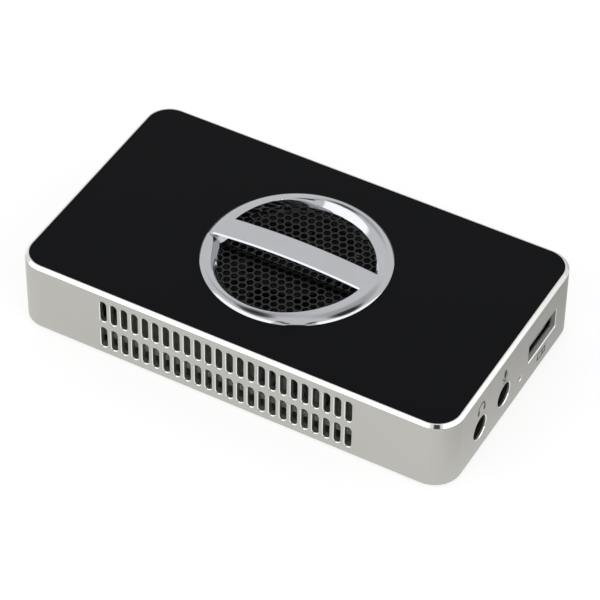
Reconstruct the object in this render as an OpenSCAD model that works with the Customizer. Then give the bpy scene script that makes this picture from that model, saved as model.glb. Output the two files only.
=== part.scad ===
// Video capture box: an aluminium housing with a black top panel, a domed trim ring
// over a perforated grille, a cooling fan under the grille and one circuit board.
// Millimetres. Z is up, X runs along the box towards the audio and USB end, and the
// origin lies on the table under the middle of the box.

/* [Housing] */
// Length of the housing
body_l = 116.7; // [114:0.1:130]
// Width of the housing
body_w = 67.2; // [66:0.1:80]
// Height of the housing without its feet
body_h = 19.5; // [19:0.1:26]
// Outer radius of the upright corners
corner_r = 6.9; // [5.5:0.1:9]
// Thickness of the side and end walls
wall = 1.5; // [1.2:0.1:2]
// Thickness of the deck under the top panel
deck_t = 1.5; // [1.3:0.1:2.2]
// Bright chamfer around the top edge
edge_chamfer = 0.7; // [0.4:0.05:1]
// Flat rim between the chamfer and the top panel
rim_w = 0.3; // [0.2:0.05:0.6]
// Chamfer around each port
port_chamfer = 0.25; // [0.2:0.05:0.5]
// Break on the lower outside edge
foot_break = 0.3; // [0.15:0.05:0.6]
// Radius of the corner screw bosses
boss_r = 2.7; // [2.4:0.1:3.1]
// How far a boss merges into the corner wall
boss_bite = 0.6; // [0.4:0.05:0.9]

/* [Top panel] */
// Thickness of the black panel
panel_t = 1; // [0.8:0.05:1.3]
// Thickness of the adhesive sheet under the panel
adhesive_t = 0.15; // [0.1:0.05:0.25]
// Gap around the panel and around the trim ring's skirt
panel_gap = 0.06; // [0.04:0.01:0.15]

/* [Trim ring and grille] */
// Outer radius of the trim ring
ring_r = 23.2; // [22.6:0.1:25]
// Gap between the fan's bore and the ring's mouth
mouth_gap = 0.1; // [0.05:0.05:0.5]
// Wall of the skirt that goes down to the grille
skirt_t = 1.5; // [1.3:0.05:1.7]
// Height of the dome's crown above the panel
dome_h = 2.7; // [2.4:0.05:3.2]
// Rise of the dome from the ring's top to the crown
dome_rise = 1.25; // [0.9:0.05:1.5]
// Height of the ring's outer edge above the panel
ring_edge_h = 0.12; // [0.05:0.01:0.4]
// Depth of the lower end of the windows' slopes below the panel's face
lip_depth = 1.1; // [0.8:0.05:1.3]
// How much a window's radius grows from the foot of its slope to the ring's top
window_spread = 1.45; // [1.2:0.05:1.6]
// How far a window's upper edge is set off towards its end of the bar
window_shift = 1.45; // [1:0.05:1.6]
// Width of the bar across the ring
bar_w = 6.9; // [5:0.1:9]
// Bevel along the bar's upper edges
bar_bevel = 0.4; // [0.2:0.05:0.6]
// How far the bar reaches below the panel's face
bar_sink = 0.5; // [0:0.1:1]
// Depth of the grille below the panel's face
grille_depth = 1.7; // [1.4:0.05:1.8]
// Thickness of the grille
grille_t = 0.5; // [0.4:0.05:0.6]
// Spacing of the grille's holes
grille_pitch = 2.15; // [1.9:0.05:3]
// Web between the grille's holes
grille_web = 0.45; // [0.35:0.05:0.8]
// Plain rim around the grille's holes
grille_rim = 0.3; // [0.2:0.05:0.6]

/* [Side vents] */
// Slots in a row
vent_count = 24; // [16:1:28]
// Spacing of the slots
vent_pitch = 2.87; // [2.5:0.01:3.2]
// Width of a slot
vent_w = 1.75; // [1.2:0.05:2]
// Height of a slot
vent_l = 6.3; // [4:0.1:6.6]
// Spacing of the two rows
vent_row_pitch = 8.3; // [7.6:0.1:8.6]
// Shift of the rows along the box
vent_shift = -0.6; // [-3:0.1:3]
// How far the rows lie below the middle of the wall
vent_drop = 0.25; // [0:0.05:0.5]
// Chamfer around each slot
vent_chamfer = 0.25; // [0.1:0.05:0.3]

/* [Underside] */
// Thickness of the bottom cover
cover_t = 1.5; // [1.3:0.1:2]
// Gap around the bottom cover
cover_gap = 0.15; // [0.1:0.05:0.3]
// Radius of a rubber foot
foot_r = 4; // [3:0.1:5]
// How far a foot stands below the cover
foot_proud = 0.7; // [0.4:0.1:1.2]
// Depth of a foot's pocket in the cover
foot_sink = 0.5; // [0.3:0.1:0.8]
// Distance of a foot's middle from the housing's edges
foot_inset = 11; // [10.5:0.1:14]
// Radius of the small screws
screw_r = 0.95; // [0.8:0.05:1.1]
// Clearance around a screw and in the other small fits
fit_gap = 0.05; // [0.03:0.01:0.1]
// Radius of the small screws' heads
screw_head_r = 1.9; // [1.6:0.05:2.1]
// Height of the small screws' heads
screw_head_h = 1.1; // [0.8:0.05:1.2]
// Length of a cover screw below its head
cover_screw_l = 6; // [4:0.1:8]

/* [Circuit board] */
// Height of the board's standoffs
standoff_h = 1.4; // [1:0.1:2]
// Radius of a standoff
standoff_r = 2.1; // [1.8:0.1:2.5]
// Thickness of the board
board_t = 1.6; // [1:0.1:2]
// Gap between the board and the walls
board_gap = 1.6; // [1.2:0.1:2.2]
// Mounting holes from the board's ends
hole_inset_x = 18; // [16:0.5:20]
// Mounting holes from the board's sides
hole_inset_y = 5; // [4:0.1:6]
// Gap between the ports and the end walls
port_gap = 0.6; // [0.3:0.05:0.9]

/* [Audio jacks] */
// Place of the headphone jack across the end
headphone_y = -17.4; // [-20:0.1:-15]
// Place of the microphone jack across the end
mic_y = -5.05; // [-6:0.1:-3.5]
// Height of the jacks' axis above the board
jack_axis_h = 2.8; // [2.6:0.05:3.2]
// Radius of the jack's bore
jack_bore_r = 1.8; // [1.76:0.01:1.9]
// Radius of the holes in the end wall
jack_hole_r = 3.15; // [2.9:0.05:3.5]
// Width of a jack's body
jack_w = 7; // [6:0.1:8]
// Length of a jack's body
jack_l = 12; // [10:0.1:13]
// Radius of the jack's nose
jack_nose_r = 2.5; // [2.3:0.05:2.6]
// Length of the jack's nose
jack_nose_l = 1.6; // [1:0.1:2]

/* [USB socket] */
// Place of the USB socket across the end
usb_y = 15.05; // [13.5:0.1:18]
// Height of the USB socket's middle above the board
usb_axis_h = 4.8; // [4.2:0.1:5.4]
// Width of the socket's shell
usb_w = 13.2; // [13:0.05:13.6]
// Height of the socket's shell
usb_h = 5.7; // [5.6:0.05:5.9]
// Length of the socket's shell
usb_l = 14; // [12:0.5:16]
// Width of the opening in the end wall
usb_port_w = 14.6; // [14:0.1:15]
// Height of the opening in the end wall
usb_port_h = 5.9; // [5.8:0.1:6.4]

/* [HDMI sockets] */
// Place of the input socket across the other end
hdmi_in_y = 13; // [10:0.1:16]
// Place of the output socket across the other end
hdmi_out_y = -13; // [-16:0.1:-10]
// Width of the socket's shell
hdmi_w = 15; // [14.6:0.1:15.4]
// Height of the socket's shell
hdmi_h = 5.6; // [5.4:0.05:6]
// Length of the socket's shell
hdmi_l = 11.5; // [10:0.1:13]
// Gap between the shell and the opening in the end wall
hdmi_port_gap = 0.3; // [0.2:0.05:0.6]
// Sheet thickness of the sockets' shells
shell_t = 0.3; // [0.2:0.05:0.4]

/* [Status light] */
// Place of the status light across the end
led_y = 3.6; // [2.6:0.1:4.4]
// Height of the status light above the board
led_axis_h = 0.5; // [0.4:0.05:0.8]
// Radius of the light pipe
pipe_r = 0.7; // [0.5:0.05:0.9]
// How far the light pipe stops inside the wall's face
pipe_inset = 0.4; // [0.1:0.05:0.6]

/* [Parts on the board] */
// Gap between a part and what it stands beside
part_gap = 1.5; // [1:0.1:2]
// Side of the video input's receiver chip
receiver_w = 12; // [8:0.5:12]
// Side of the video output's transmitter chip
transmitter_w = 10; // [8:0.5:12]
// Side of the USB controller
usb_chip_w = 10; // [7:0.5:11]
// Side of the audio codec
codec_w = 6; // [4:0.5:7]
// Length of a memory chip
memory_l = 9; // [7:0.5:10]
// Width of a memory chip
memory_w = 13; // [9:0.5:14]
// Length of the flash memory
flash_l = 6; // [4:0.5:7]
// Width of the flash memory
flash_w = 5; // [4:0.5:7]
// Height of the smaller chips
small_chip_h = 1; // [0.7:0.05:1.3]
// Length of a crystal
crystal_l = 3.2; // [2:0.1:5]
// Width of a crystal
crystal_w = 2.5; // [1.6:0.1:3.2]
// Radius of the mark at a chip's first pin
pin_mark_r = 0.3; // [0.2:0.05:0.5]
// Distance of the inductors and capacitors from the board's sides
edge_inset = 5.5; // [5:0.1:7]
// Side of an inductor
inductor_w = 6; // [4:0.5:7]
// Height of an inductor
inductor_h = 3; // [2:0.1:4]
// Spacing of the inductors
inductor_pitch = 8.3; // [8:0.1:9]
// Radius of a capacitor
capacitor_r = 3.1; // [2:0.1:3.3]
// Height of a capacitor
capacitor_h = 5.4; // [4:0.1:6]
// Spacing of the capacitors
capacitor_pitch = 8; // [7.5:0.1:9]

/* [Cooling] */
// Side of the main chip
chip_w = 23; // [18:0.5:27]
// Height of the main chip
chip_h = 1.6; // [1.2:0.1:2]
// Thickness of the thermal pad
pad_t = 0.5; // [0.3:0.1:0.8]
// Side of the heat sink
sink_w = 28; // [24:0.5:28.5]
// Thickness of the heat sink's base
sink_base_t = 1; // [0.8:0.1:1.4]
// Number of fins
fin_count = 11; // [7:1:13]
// Thickness of a fin
fin_t = 0.8; // [0.5:0.05:1.1]
// Gap between the fins and the fan
fin_gap = 0.8; // [0.5:0.1:1]

/* [Fan] */
// Side of the fan's frame
fan_w = 40; // [40:0.5:44]
// Height of the fan
fan_t = 6; // [5.5:0.1:7]
// Rim of the fan's frame beside its bore
fan_rim = 1; // [0.8:0.05:1.5]
// Distance of the fan's screws from its sides
fan_hole_inset = 4; // [3.5:0.1:4.2]
// Gap between the blades and the bore
tip_gap = 0.5; // [0.3:0.05:0.8]
// Number of blades
blade_count = 7; // [5:1:9]
// Turn of a blade from its lower to its upper edge
blade_turn = 34; // [24:1:40]
// Thickness of a blade
blade_t = 0.8; // [0.6:0.05:1]
// Outer radius of the hub
hub_r = 10; // [9.5:0.1:10.8]
// Wall of the hub
hub_wall = 0.9; // [0.7:0.05:1.1]
// Thickness of the hub's top
hub_top_t = 0.8; // [0.6:0.05:1]
// Thickness of the fan's base and struts
base_t = 1; // [0.8:0.05:1.2]
// Thickness of the motor's circuit
circuit_t = 0.6; // [0.4:0.05:0.8]
// Radius of the shaft
shaft_r = 0.75; // [0.6:0.05:0.9]
// Running clearance of the shaft in its bearing
shaft_gap = 0.03; // [0.02:0.01:0.06]
// Wall of the bearing
bearing_wall = 1.1; // [0.9:0.05:1.2]
// Wall of the bearing tube
tube_wall = 0.7; // [0.5:0.05:0.8]
// Radius of the fan's screws
fan_screw_r = 1; // [0.8:0.05:1.2]

/* [Hidden] */
$fn = 64;
eps = 0.02;

// Heights of the layers, from the table up
z_base = foot_proud;
z_cover = z_base + cover_t;
z_board = z_cover + standoff_h;
z_top = z_board + board_t;
z_rim = z_base + body_h;
z_seat = z_rim - panel_t - adhesive_t;
z_deck = z_seat - deck_t;
z_grille = z_rim - grille_depth;
z_fan = z_deck - fan_t;

// The panel's recess and the trim ring's seat, around the fan's bore
fan_bore_r = fan_w / 2 - fan_rim;
ring_in_r = fan_bore_r + mouth_gap;
panel_inset = edge_chamfer + rim_w;
skirt_r = ring_in_r + skirt_t;
seat_r = skirt_r + panel_gap;
dome_r = (skirt_r * skirt_r + dome_rise * dome_rise) / (2 * dome_rise);
ring_top = dome_h - dome_rise;
dome_end = asin(skirt_r / dome_r);
brow_w = ring_r - skirt_r;
brow_h = ring_top - ring_edge_h;
brow_r = (brow_w * brow_w + brow_h * brow_h) / (2 * (brow_h * cos(dome_end) - brow_w * sin(dome_end)));
brow_x = skirt_r - brow_r * sin(dome_end);
brow_z = ring_top - brow_r * cos(dome_end);
brow_end = asin((ring_r - brow_x) / brow_r);
hex_r = (grille_pitch - grille_web) / sqrt(3);
row_pitch = grille_pitch * sqrt(3) / 2;

// Corner bosses lie on the corner's diagonal and merge into its wall
boss_off = (corner_r - wall - boss_r + boss_bite) / sqrt(2);
boss_x = body_l / 2 - corner_r + boss_off;
boss_y = body_w / 2 - corner_r + boss_off;
screw_hole_r = screw_r + fit_gap;
cut_over = 1;
boss_depth = cover_screw_l + fit_gap;
vent_z = z_base + body_h / 2 - vent_drop;

// The board and its holes
board_l = body_l - 2 * (wall + board_gap);
board_w = body_w - 2 * (wall + board_gap);
notch_gap = 0.8;
notch_r = boss_r + notch_gap;
board_hole_r = screw_hole_r + 0.15;
hole_x = board_l / 2 - hole_inset_x;
hole_y = board_w / 2 - hole_inset_y;
press_step = 0.6;
press_r = standoff_r - press_step;
foot_x = body_l / 2 - foot_inset;
foot_y = body_w / 2 - foot_inset;

// Ports: the plane of their mouths and the heights of their axes
front_x = body_l / 2 - wall - port_gap;
jack_z = z_top + jack_axis_h;
usb_z = z_top + usb_axis_h;
hdmi_z = z_top + hdmi_h / 2;
led_z = z_top + led_axis_h;
pipe_hole_r = pipe_r + fit_gap;
jack_h = 2 * jack_axis_h - 0.2;
jack_back_t = 1;
bore_l = jack_nose_l + jack_l - jack_back_t;
jack_tab_pitch = 3.5;
jack_tab_w = 1.2;
jack_tab_t = 0.3;
jack_back = front_x - jack_nose_l - jack_l;
led_w = 1.6;
led_t = 1;

// USB socket: the block behind its tongue, the cap behind its shell and the tongue itself
usb_back_l = 4;
usb_cap_t = 1;
usb_tongue_w = 11.1;
usb_tongue_t = 1.85;
usb_tongue_z = 0.25;
usb_tongue_inset = 1.9;
usb_pin_pitch = 2.4;
usb_pin_w = 1;
usb_pin_t = 0.2;
usb_pad_pitch = 2;
usb_pad_w = 0.6;
usb_back = front_x - usb_l - usb_cap_t;

// HDMI sockets: the cut lower corners, the block behind the tongue and the tongue itself
hdmi_cut = 1.4;
hdmi_back_l = 3;
hdmi_tongue_w = 11.6;
hdmi_tongue_t = 1.6;
hdmi_tongue_z = -0.4;
hdmi_tongue_inset = 1;
hdmi_pin_pitch = 1;
hdmi_pin_w = 0.4;
hdmi_pin_t = 0.15;
hdmi_tab_w = 1.6;
hdmi_back = front_x - hdmi_l;

// Places of the parts on the board: each chip stands behind the socket that it serves
receiver_x = -hdmi_back + part_gap + receiver_w / 2;
transmitter_x = -hdmi_back + part_gap + transmitter_w / 2;
usb_chip_x = usb_back - part_gap - usb_chip_w / 2;
codec_x = jack_back - part_gap - codec_w / 2;
codec_y = (headphone_y + mic_y) / 2;
flash_x = codec_x - codec_w / 2 - part_gap - flash_l / 2;
memory_x = -sink_w / 2 - part_gap - memory_l / 2;
memory_y = part_gap + memory_w / 2;
edge_row_y = board_w / 2 - edge_inset;

// Heat sink and fan
z_pad = z_top + chip_h;
z_sink = z_pad + pad_t;
fin_top = z_fan - fin_gap;
fin_h = fin_top - z_sink - sink_base_t;
fan_hole = fan_w / 2 - fan_hole_inset;
fan_hole_r = fan_screw_r + 0.15;
fan_head_r = 1.8 * fan_screw_r;
fan_head_h = fan_screw_r;
hub_gap = 0.4;
hub_under = fan_t - hub_gap - hub_top_t;
hub_in_r = hub_r - hub_wall;
hub_low = base_t + 0.5;
tip_r = fan_bore_r - tip_gap;
bearing_in_r = shaft_r + shaft_gap;
bearing_r = bearing_in_r + bearing_wall;
tube_in_r = bearing_r + fit_gap;
tube_r = tube_in_r + tube_wall;
tube_top = hub_under - 0.6;
washer_z = 0.4;
washer_t = 0.3;
magnet_r = hub_in_r - fit_gap;
magnet_t = 1.1;
stator_r = magnet_r - magnet_t - 0.5;
core_r = tube_r + 1.3;
coil_low = base_t + circuit_t + 0.1;
coil_high = hub_under - 0.4;
coil_wrap = 0.45;
pole_w = 1.6;
shoe_t = 0.8;

// The fan's lead: three wires from the frame's notch down into the plug
lead_r = 0.4;
lead_pitch = 1.25;
lead_bend = 1.4;
plug_reach = 5;
plug_x = fan_w / 2 + plug_reach;
header_h = 1.8;
header_w = 3.8;
header_wall = 0.5;
plug_z = z_top + header_h;
plug_h = 1.8;
plug_l = 2 * lead_pitch + 2;
lead_z = z_fan + base_t / 2;

// Shapes that repeat

module rounded_rect(l, w, r) {
    square([l - 2 * r, w], center = true);
    square([l, w - 2 * r], center = true);
    for (x = [-1, 1], y = [-1, 1])
        translate([x * (l / 2 - r), y * (w / 2 - r)])
            circle(r);
}

module rounded_plate(l, w, r, t) {
    linear_extrude(t)
        rounded_rect(l, w, r);
}

// A plate with upright corners whose outline shrinks by its height: the body of a chamfer
module chamfer_plate(l, w, r, c) {
    for (x = [-1, 1], y = [-1, 1])
        translate([x * (l / 2 - r), y * (w / 2 - r), 0])
            cylinder(c, r, r - c);
    rotate([90, 0, 90])
        linear_extrude(l - 2 * r, center = true)
            chamfer_profile(w, c);
    rotate([90, 0, 0])
        linear_extrude(w - 2 * r, center = true)
            chamfer_profile(l, c);
}

module chamfer_profile(w, c) {
    polygon([[-w / 2, 0], [w / 2, 0], [w / 2 - c, c], [c - w / 2, c]]);
}

module at_corners(x, y) {
    for (sx = [-1, 1], sy = [-1, 1])
        translate([sx * x, sy * y, 0])
            children();
}

// Puts a port at the audio and USB end, mouth at the origin and facing +X
module at_front(y, z) {
    translate([front_x, y, z])
        children();
}

// Puts a port at the video end, mouth at the origin and facing +X before the turn
module at_back(y, z) {
    rotate([0, 0, 180])
        translate([front_x, -y, z])
            children();
}

// A countersunk screw, its flat head downwards at z = 0
module countersunk_screw(l) {
    difference() {
        union() {
            cylinder(screw_head_h, screw_head_r, screw_r);
            cylinder(screw_head_h + l, r = screw_r);
        }
        translate([0, 0, -eps])
            cylinder(screw_head_h / 2, r = screw_r, $fn = 6);
    }
}

// A pan head screw, the head's seat at z = 0 and the shank below it
module pan_screw(r, l, head_r, head_h) {
    difference() {
        union() {
            cylinder(head_h, r = head_r);
            translate([0, 0, -l])
                cylinder(l + eps, r = r);
        }
        translate([0, 0, head_h / 2])
            cylinder(head_h, r = r, $fn = 6);
    }
}

// A flat chip with the mark of its first pin pressed into the top
module chip(x, y, l, w, h) {
    translate([x, y, z_top])
        difference() {
            translate([-l / 2, -w / 2, 0])
                cube([l, w, h]);
            translate([2 * pin_mark_r - l / 2, w / 2 - 2 * pin_mark_r, h - pin_mark_r / 3])
                cylinder(h, r = pin_mark_r);
        }
}

// Housing

module slot_outline(w, l) {
    square([w, l - w], center = true);
    for (s = [-1, 1])
        translate([0, s * (l - w) / 2])
            circle(w / 2);
}

// One vent slot, cut from the outer face at y = 0 towards +Y
module vent_slot() {
    rotate([-90, 0, 0])
        translate([0, 0, -1])
            linear_extrude(wall + 1.1)
                slot_outline(vent_w, vent_l);
    rotate([-90, 0, 0])
        for (s = [-1, 1])
            translate([0, s * (vent_l - vent_w) / 2, 0])
                cylinder(vent_chamfer, vent_w / 2 + vent_chamfer, vent_w / 2);
    linear_extrude(vent_l - vent_w, center = true)
        polygon([
            [-vent_w / 2 - vent_chamfer, 0], [vent_w / 2 + vent_chamfer, 0],
            [vent_w / 2, vent_chamfer], [-vent_w / 2, vent_chamfer]
        ]);
}

module vent_rows() {
    for (row = [-1, 1], i = [0 : vent_count - 1])
        translate([
            vent_shift + (i - (vent_count - 1) / 2) * vent_pitch,
            -body_w / 2,
            vent_z + row * vent_row_pitch / 2
        ])
            vent_slot();
}

// A round port through the wall at x = 0, chamfered outside
module round_port(r) {
    rotate([0, -90, 0]) {
        translate([0, 0, -1])
            cylinder(wall + 1.1, r = r);
        cylinder(port_chamfer, r + port_chamfer, r);
    }
}

// A rectangular port through the wall at x = 0, chamfered outside
module square_port(w, h) {
    translate([-wall - 0.1, -w / 2, -h / 2])
        cube([wall + 1.1, w, h]);
    intersection() {
        linear_extrude(2 * h, center = true)
            port_flare(w);
        rotate([90, 0, 0])
            linear_extrude(2 * w, center = true)
                port_flare(h);
    }
}

module port_flare(w) {
    c = port_chamfer;
    polygon([[0, -w / 2 - c], [0, w / 2 + c], [-c, w / 2], [-c, -w / 2]]);
}

module housing_ports() {
    translate([body_l / 2, headphone_y, jack_z])
        round_port(jack_hole_r);
    translate([body_l / 2, mic_y, jack_z])
        round_port(jack_hole_r);
    translate([body_l / 2, led_y, led_z])
        round_port(pipe_hole_r);
    translate([body_l / 2, usb_y, usb_z])
        square_port(usb_port_w, usb_port_h);
    rotate([0, 0, 180])
        for (y = [-hdmi_in_y, -hdmi_out_y])
            translate([body_l / 2, y, hdmi_z])
                square_port(hdmi_w + 2 * hdmi_port_gap, hdmi_h + 2 * hdmi_port_gap);
}

module housing_shell() {
    difference() {
        union() {
            translate([0, 0, z_rim - edge_chamfer])
                chamfer_plate(body_l, body_w, corner_r, edge_chamfer);
            translate([0, 0, z_base + foot_break])
                rounded_plate(body_l, body_w, corner_r, body_h - edge_chamfer - foot_break);
            translate([0, 0, z_base + foot_break])
                mirror([0, 0, 1])
                    chamfer_plate(body_l, body_w, corner_r, foot_break);
        }
        translate([0, 0, z_base - 1])
            rounded_plate(body_l - 2 * wall, body_w - 2 * wall, corner_r - wall, z_deck - z_base + 1);
        translate([0, 0, z_seat])
            rounded_plate(body_l - 2 * panel_inset, body_w - 2 * panel_inset,
                corner_r - panel_inset, body_h);
        translate([0, 0, z_grille - grille_t])
            cylinder(body_h, r = seat_r);
        translate([0, 0, z_deck - 1])
            cylinder(body_h, r = fan_bore_r);
        translate([0, 0, z_deck - 1])
            at_corners(fan_hole, fan_hole)
                cylinder(body_h, r = fan_screw_r + fit_gap);
        housing_ports();
        vent_rows();
        rotate([0, 0, 180])
            mirror([1, 0, 0])
                vent_rows();
    }
}

module housing_bosses() {
    intersection() {
        at_corners(boss_x, boss_y)
            translate([0, 0, z_cover])
                difference() {
                    cylinder(z_deck - z_cover + deck_t / 2, r = boss_r);
                    translate([0, 0, -1])
                        cylinder(boss_depth + cut_over, r = screw_hole_r);
                }
        translate([0, 0, z_base])
            rounded_plate(body_l - wall, body_w - wall, corner_r - wall / 2, body_h);
    }
}

module housing() {
    color("#bcbbb7") {
        housing_shell();
        housing_bosses();
    }
}

// Top panel, trim ring and grille

module panel_sheet(t) {
    linear_extrude(t)
        difference() {
            rounded_rect(body_l - 2 * (panel_inset + panel_gap), body_w - 2 * (panel_inset + panel_gap),
                corner_r - panel_inset - panel_gap);
            circle(seat_r);
        }
}

module top_panel() {
    color("#1a1b1d")
        translate([0, 0, z_rim - panel_t])
            panel_sheet(panel_t);
}

module panel_adhesive() {
    color("#33312c")
        translate([0, 0, z_seat])
            panel_sheet(adhesive_t);
}

// Half section of the cap: skirt, seat on the panel, arched brow and the dome it runs into
module cap_section() {
    brow_steps = 8;
    dome_steps = 12;
    polygon(concat(
        [[0, -bar_sink], [ring_in_r, -bar_sink], [ring_in_r, -grille_depth]],
        [[skirt_r, -grille_depth], [skirt_r, 0], [ring_r, 0]],
        [for (i = [brow_steps : -1 : 1])
            let (a = dome_end + (brow_end - dome_end) * i / brow_steps)
                [brow_x + brow_r * sin(a), brow_z + brow_r * cos(a)]],
        [for (i = [dome_steps : -1 : 0])
            let (a = dome_end * i / dome_steps)
                [dome_r * sin(a), dome_h - dome_r * (1 - cos(a))]]
    ));
}

// A thin disc of a window's slanting cone, where share is 0 at the foot and 1 at the ring's top
module window_disc(share) {
    thin = 0.01;
    translate([share * window_shift, 0, share * (lip_depth + ring_top) - lip_depth])
        cylinder(thin, r = fan_bore_r + share * window_spread, $fn = 96);
}

module window_cone() {
    hull() {
        window_disc(-0.5);
        window_disc(2);
    }
}

// The window behind the bar: bounded by the bar's side, and by a bevel along the dome's arc
module window() {
    intersection() {
        window_cone();
        translate([-ring_r, bar_w / 2, -2 * grille_depth])
            cube([2 * ring_r, ring_r, 2 * grille_depth + 2 * dome_h]);
    }
    intersection() {
        window_cone();
        translate([0, 0, dome_h - dome_r])
            rotate([-90, 0, 0])
                rotate_extrude($fn = 240)
                    polygon([
                        [dome_r - 2 * bar_bevel, bar_w / 2 + bar_bevel],
                        [dome_r + bar_bevel, bar_w / 2 - 2 * bar_bevel],
                        [dome_r + bar_bevel, bar_w / 2 + bar_bevel]
                    ]);
    }
}

// A domed cap with two windows, which leave a ring and the bar across it
module trim_ring() {
    color("#c8cacd")
        translate([0, 0, z_rim])
            difference() {
                rotate_extrude()
                    cap_section();
                window();
                rotate(180)
                    window();
            }
}

module grille() {
    disc_r = skirt_r;
    reach = disc_r - grille_rim - hex_r;
    rows = floor(reach / row_pitch);
    columns = ceil(reach / grille_pitch);
    color("#202123")
        translate([0, 0, z_grille - grille_t])
            linear_extrude(grille_t)
                difference() {
                    circle(disc_r);
                    for (j = [-rows : rows], i = [-columns : columns]) {
                        x = (i + (j % 2 == 0 ? 0 : 0.5)) * grille_pitch;
                        y = j * row_pitch;
                        if (norm([x, y]) < reach)
                            translate([x, y])
                                rotate(30)
                                    circle(hex_r, $fn = 6);
                    }
                }
}

// Underside

module bottom_cover() {
    inset = wall + cover_gap;
    sink_h = screw_head_h;
    color("#9c9b98")
        translate([0, 0, z_base])
            difference() {
                rounded_plate(body_l - 2 * inset, body_w - 2 * inset, corner_r - inset, cover_t);
                at_corners(boss_x, boss_y) {
                    translate([0, 0, -1])
                        cylinder(cover_t + 2, r = screw_hole_r);
                    translate([0, 0, -eps])
                        cylinder(sink_h + eps, screw_head_r + fit_gap, screw_hole_r);
                }
                at_corners(foot_x, foot_y)
                    translate([0, 0, -1])
                        cylinder(foot_sink + 1, r = foot_r + fit_gap);
                at_corners(hole_x, hole_y)
                    translate([0, 0, -1])
                        cylinder(cover_t + 2, r = press_r + fit_gap);
            }
}

module cover_screws() {
    color("#55575a")
        translate([0, 0, z_base])
            at_corners(boss_x, boss_y)
                countersunk_screw(cover_screw_l);
}

module rubber_feet() {
    edge = foot_proud / 2;
    color("#232323")
        at_corners(foot_x, foot_y) {
            cylinder(edge, foot_r - edge, foot_r);
            translate([0, 0, edge])
                cylinder(foot_proud + foot_sink - edge, r = foot_r);
        }
}

// Circuit board

module main_board() {
    color("#1f4a33")
        translate([0, 0, z_board])
            linear_extrude(board_t)
                difference() {
                    square([board_l, board_w], center = true);
                    at_corners(boss_x, boss_y)
                        circle(notch_r);
                    at_corners(hole_x, hole_y)
                        circle(board_hole_r);
                }
}

module board_standoffs() {
    color("#c9b27a")
        at_corners(hole_x, hole_y)
            difference() {
                union() {
                    translate([0, 0, z_cover])
                        cylinder(standoff_h, r = standoff_r);
                    translate([0, 0, z_base + foot_break])
                        cylinder(cover_t, r = press_r);
                }
                translate([0, 0, z_base + 2 * foot_break])
                    cylinder(body_h, r = screw_hole_r);
            }
}

module board_screws() {
    color("#b9bbbe")
        translate([0, 0, z_top])
            at_corners(hole_x, hole_y)
                pan_screw(screw_r, board_t + standoff_h, screw_head_r, screw_head_h);
}

// Audio jacks: a moulded body with a round nose and a plug bore

module jack_body() {
    difference() {
        union() {
            translate([-jack_nose_l - jack_l, -jack_w / 2, -jack_axis_h])
                cube([jack_l, jack_w, jack_h]);
            translate([-jack_nose_l - eps, 0, 0])
                rotate([0, 90, 0])
                    cylinder(jack_nose_l + eps, r = jack_nose_r);
        }
        translate([-bore_l, 0, 0])
            rotate([0, 90, 0])
                cylinder(bore_l + 1, r = jack_bore_r);
    }
}

// Solder tabs of a jack: strips bent down the sides of the body to the board
module jack_tabs() {
    for (i = [-1, 0, 1], s = [-1, 1])
        translate([
            -jack_nose_l - jack_l / 2 + i * jack_tab_pitch - jack_tab_w / 2,
            s * (jack_w + jack_tab_t) / 2 - jack_tab_t / 2,
            -jack_axis_h
        ])
            cube([jack_tab_w, jack_tab_t, jack_axis_h]);
}

module headphone_jack() {
    color("#26272a")
        at_front(headphone_y, jack_z)
            jack_body();
}

module headphone_contacts() {
    color("#d0c9b4")
        at_front(headphone_y, jack_z)
            jack_tabs();
}

module mic_jack() {
    color("#26272a")
        at_front(mic_y, jack_z)
            jack_body();
}

module mic_contacts() {
    color("#d0c9b4")
        at_front(mic_y, jack_z)
            jack_tabs();
}

// USB socket: a folded shell over a raised moulding with a tongue

module usb_shell() {
    t = shell_t;
    color("#c4c6c8")
        at_front(usb_y, usb_z) {
            difference() {
                translate([-usb_l, -usb_w / 2, -usb_h / 2])
                    cube([usb_l, usb_w, usb_h]);
                translate([-usb_l - 1, t - usb_w / 2, t - usb_h / 2])
                    cube([usb_l + 2, usb_w - 2 * t, usb_h - 2 * t]);
                for (s = [-1, 1])
                    translate([-usb_l / 2, s * usb_w / 4 - 1, usb_h / 2 - 1])
                        cube([5, 2, 2]);
            }
            for (s = [-1, 1], x = [3, usb_l - 2])
                translate([-x - 1, s * (usb_w - t) / 2 - t / 2, -usb_axis_h])
                    cube([2, t, usb_axis_h - usb_h / 2 + eps]);
        }
}

module usb_insulator() {
    t = shell_t + fit_gap;
    inner_w = usb_w - 2 * t;
    inner_h = usb_h - 2 * t;
    color("#1b1c1f")
        at_front(usb_y, usb_z) {
            translate([-usb_l - usb_cap_t, -inner_w / 2, -usb_axis_h])
                cube([usb_l + usb_cap_t - 1, inner_w, usb_axis_h - usb_h / 2]);
            translate([-usb_l - usb_cap_t, -inner_w / 2, -usb_axis_h])
                cube([usb_cap_t, inner_w, usb_axis_h + inner_h / 2]);
            translate([-usb_l - eps, -inner_w / 2, -inner_h / 2])
                cube([usb_back_l + eps, inner_w, inner_h]);
            translate([-usb_l + usb_back_l - eps, -usb_tongue_w / 2, usb_tongue_z])
                cube([usb_l - usb_back_l - usb_tongue_inset, usb_tongue_w, usb_tongue_t]);
        }
}

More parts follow.
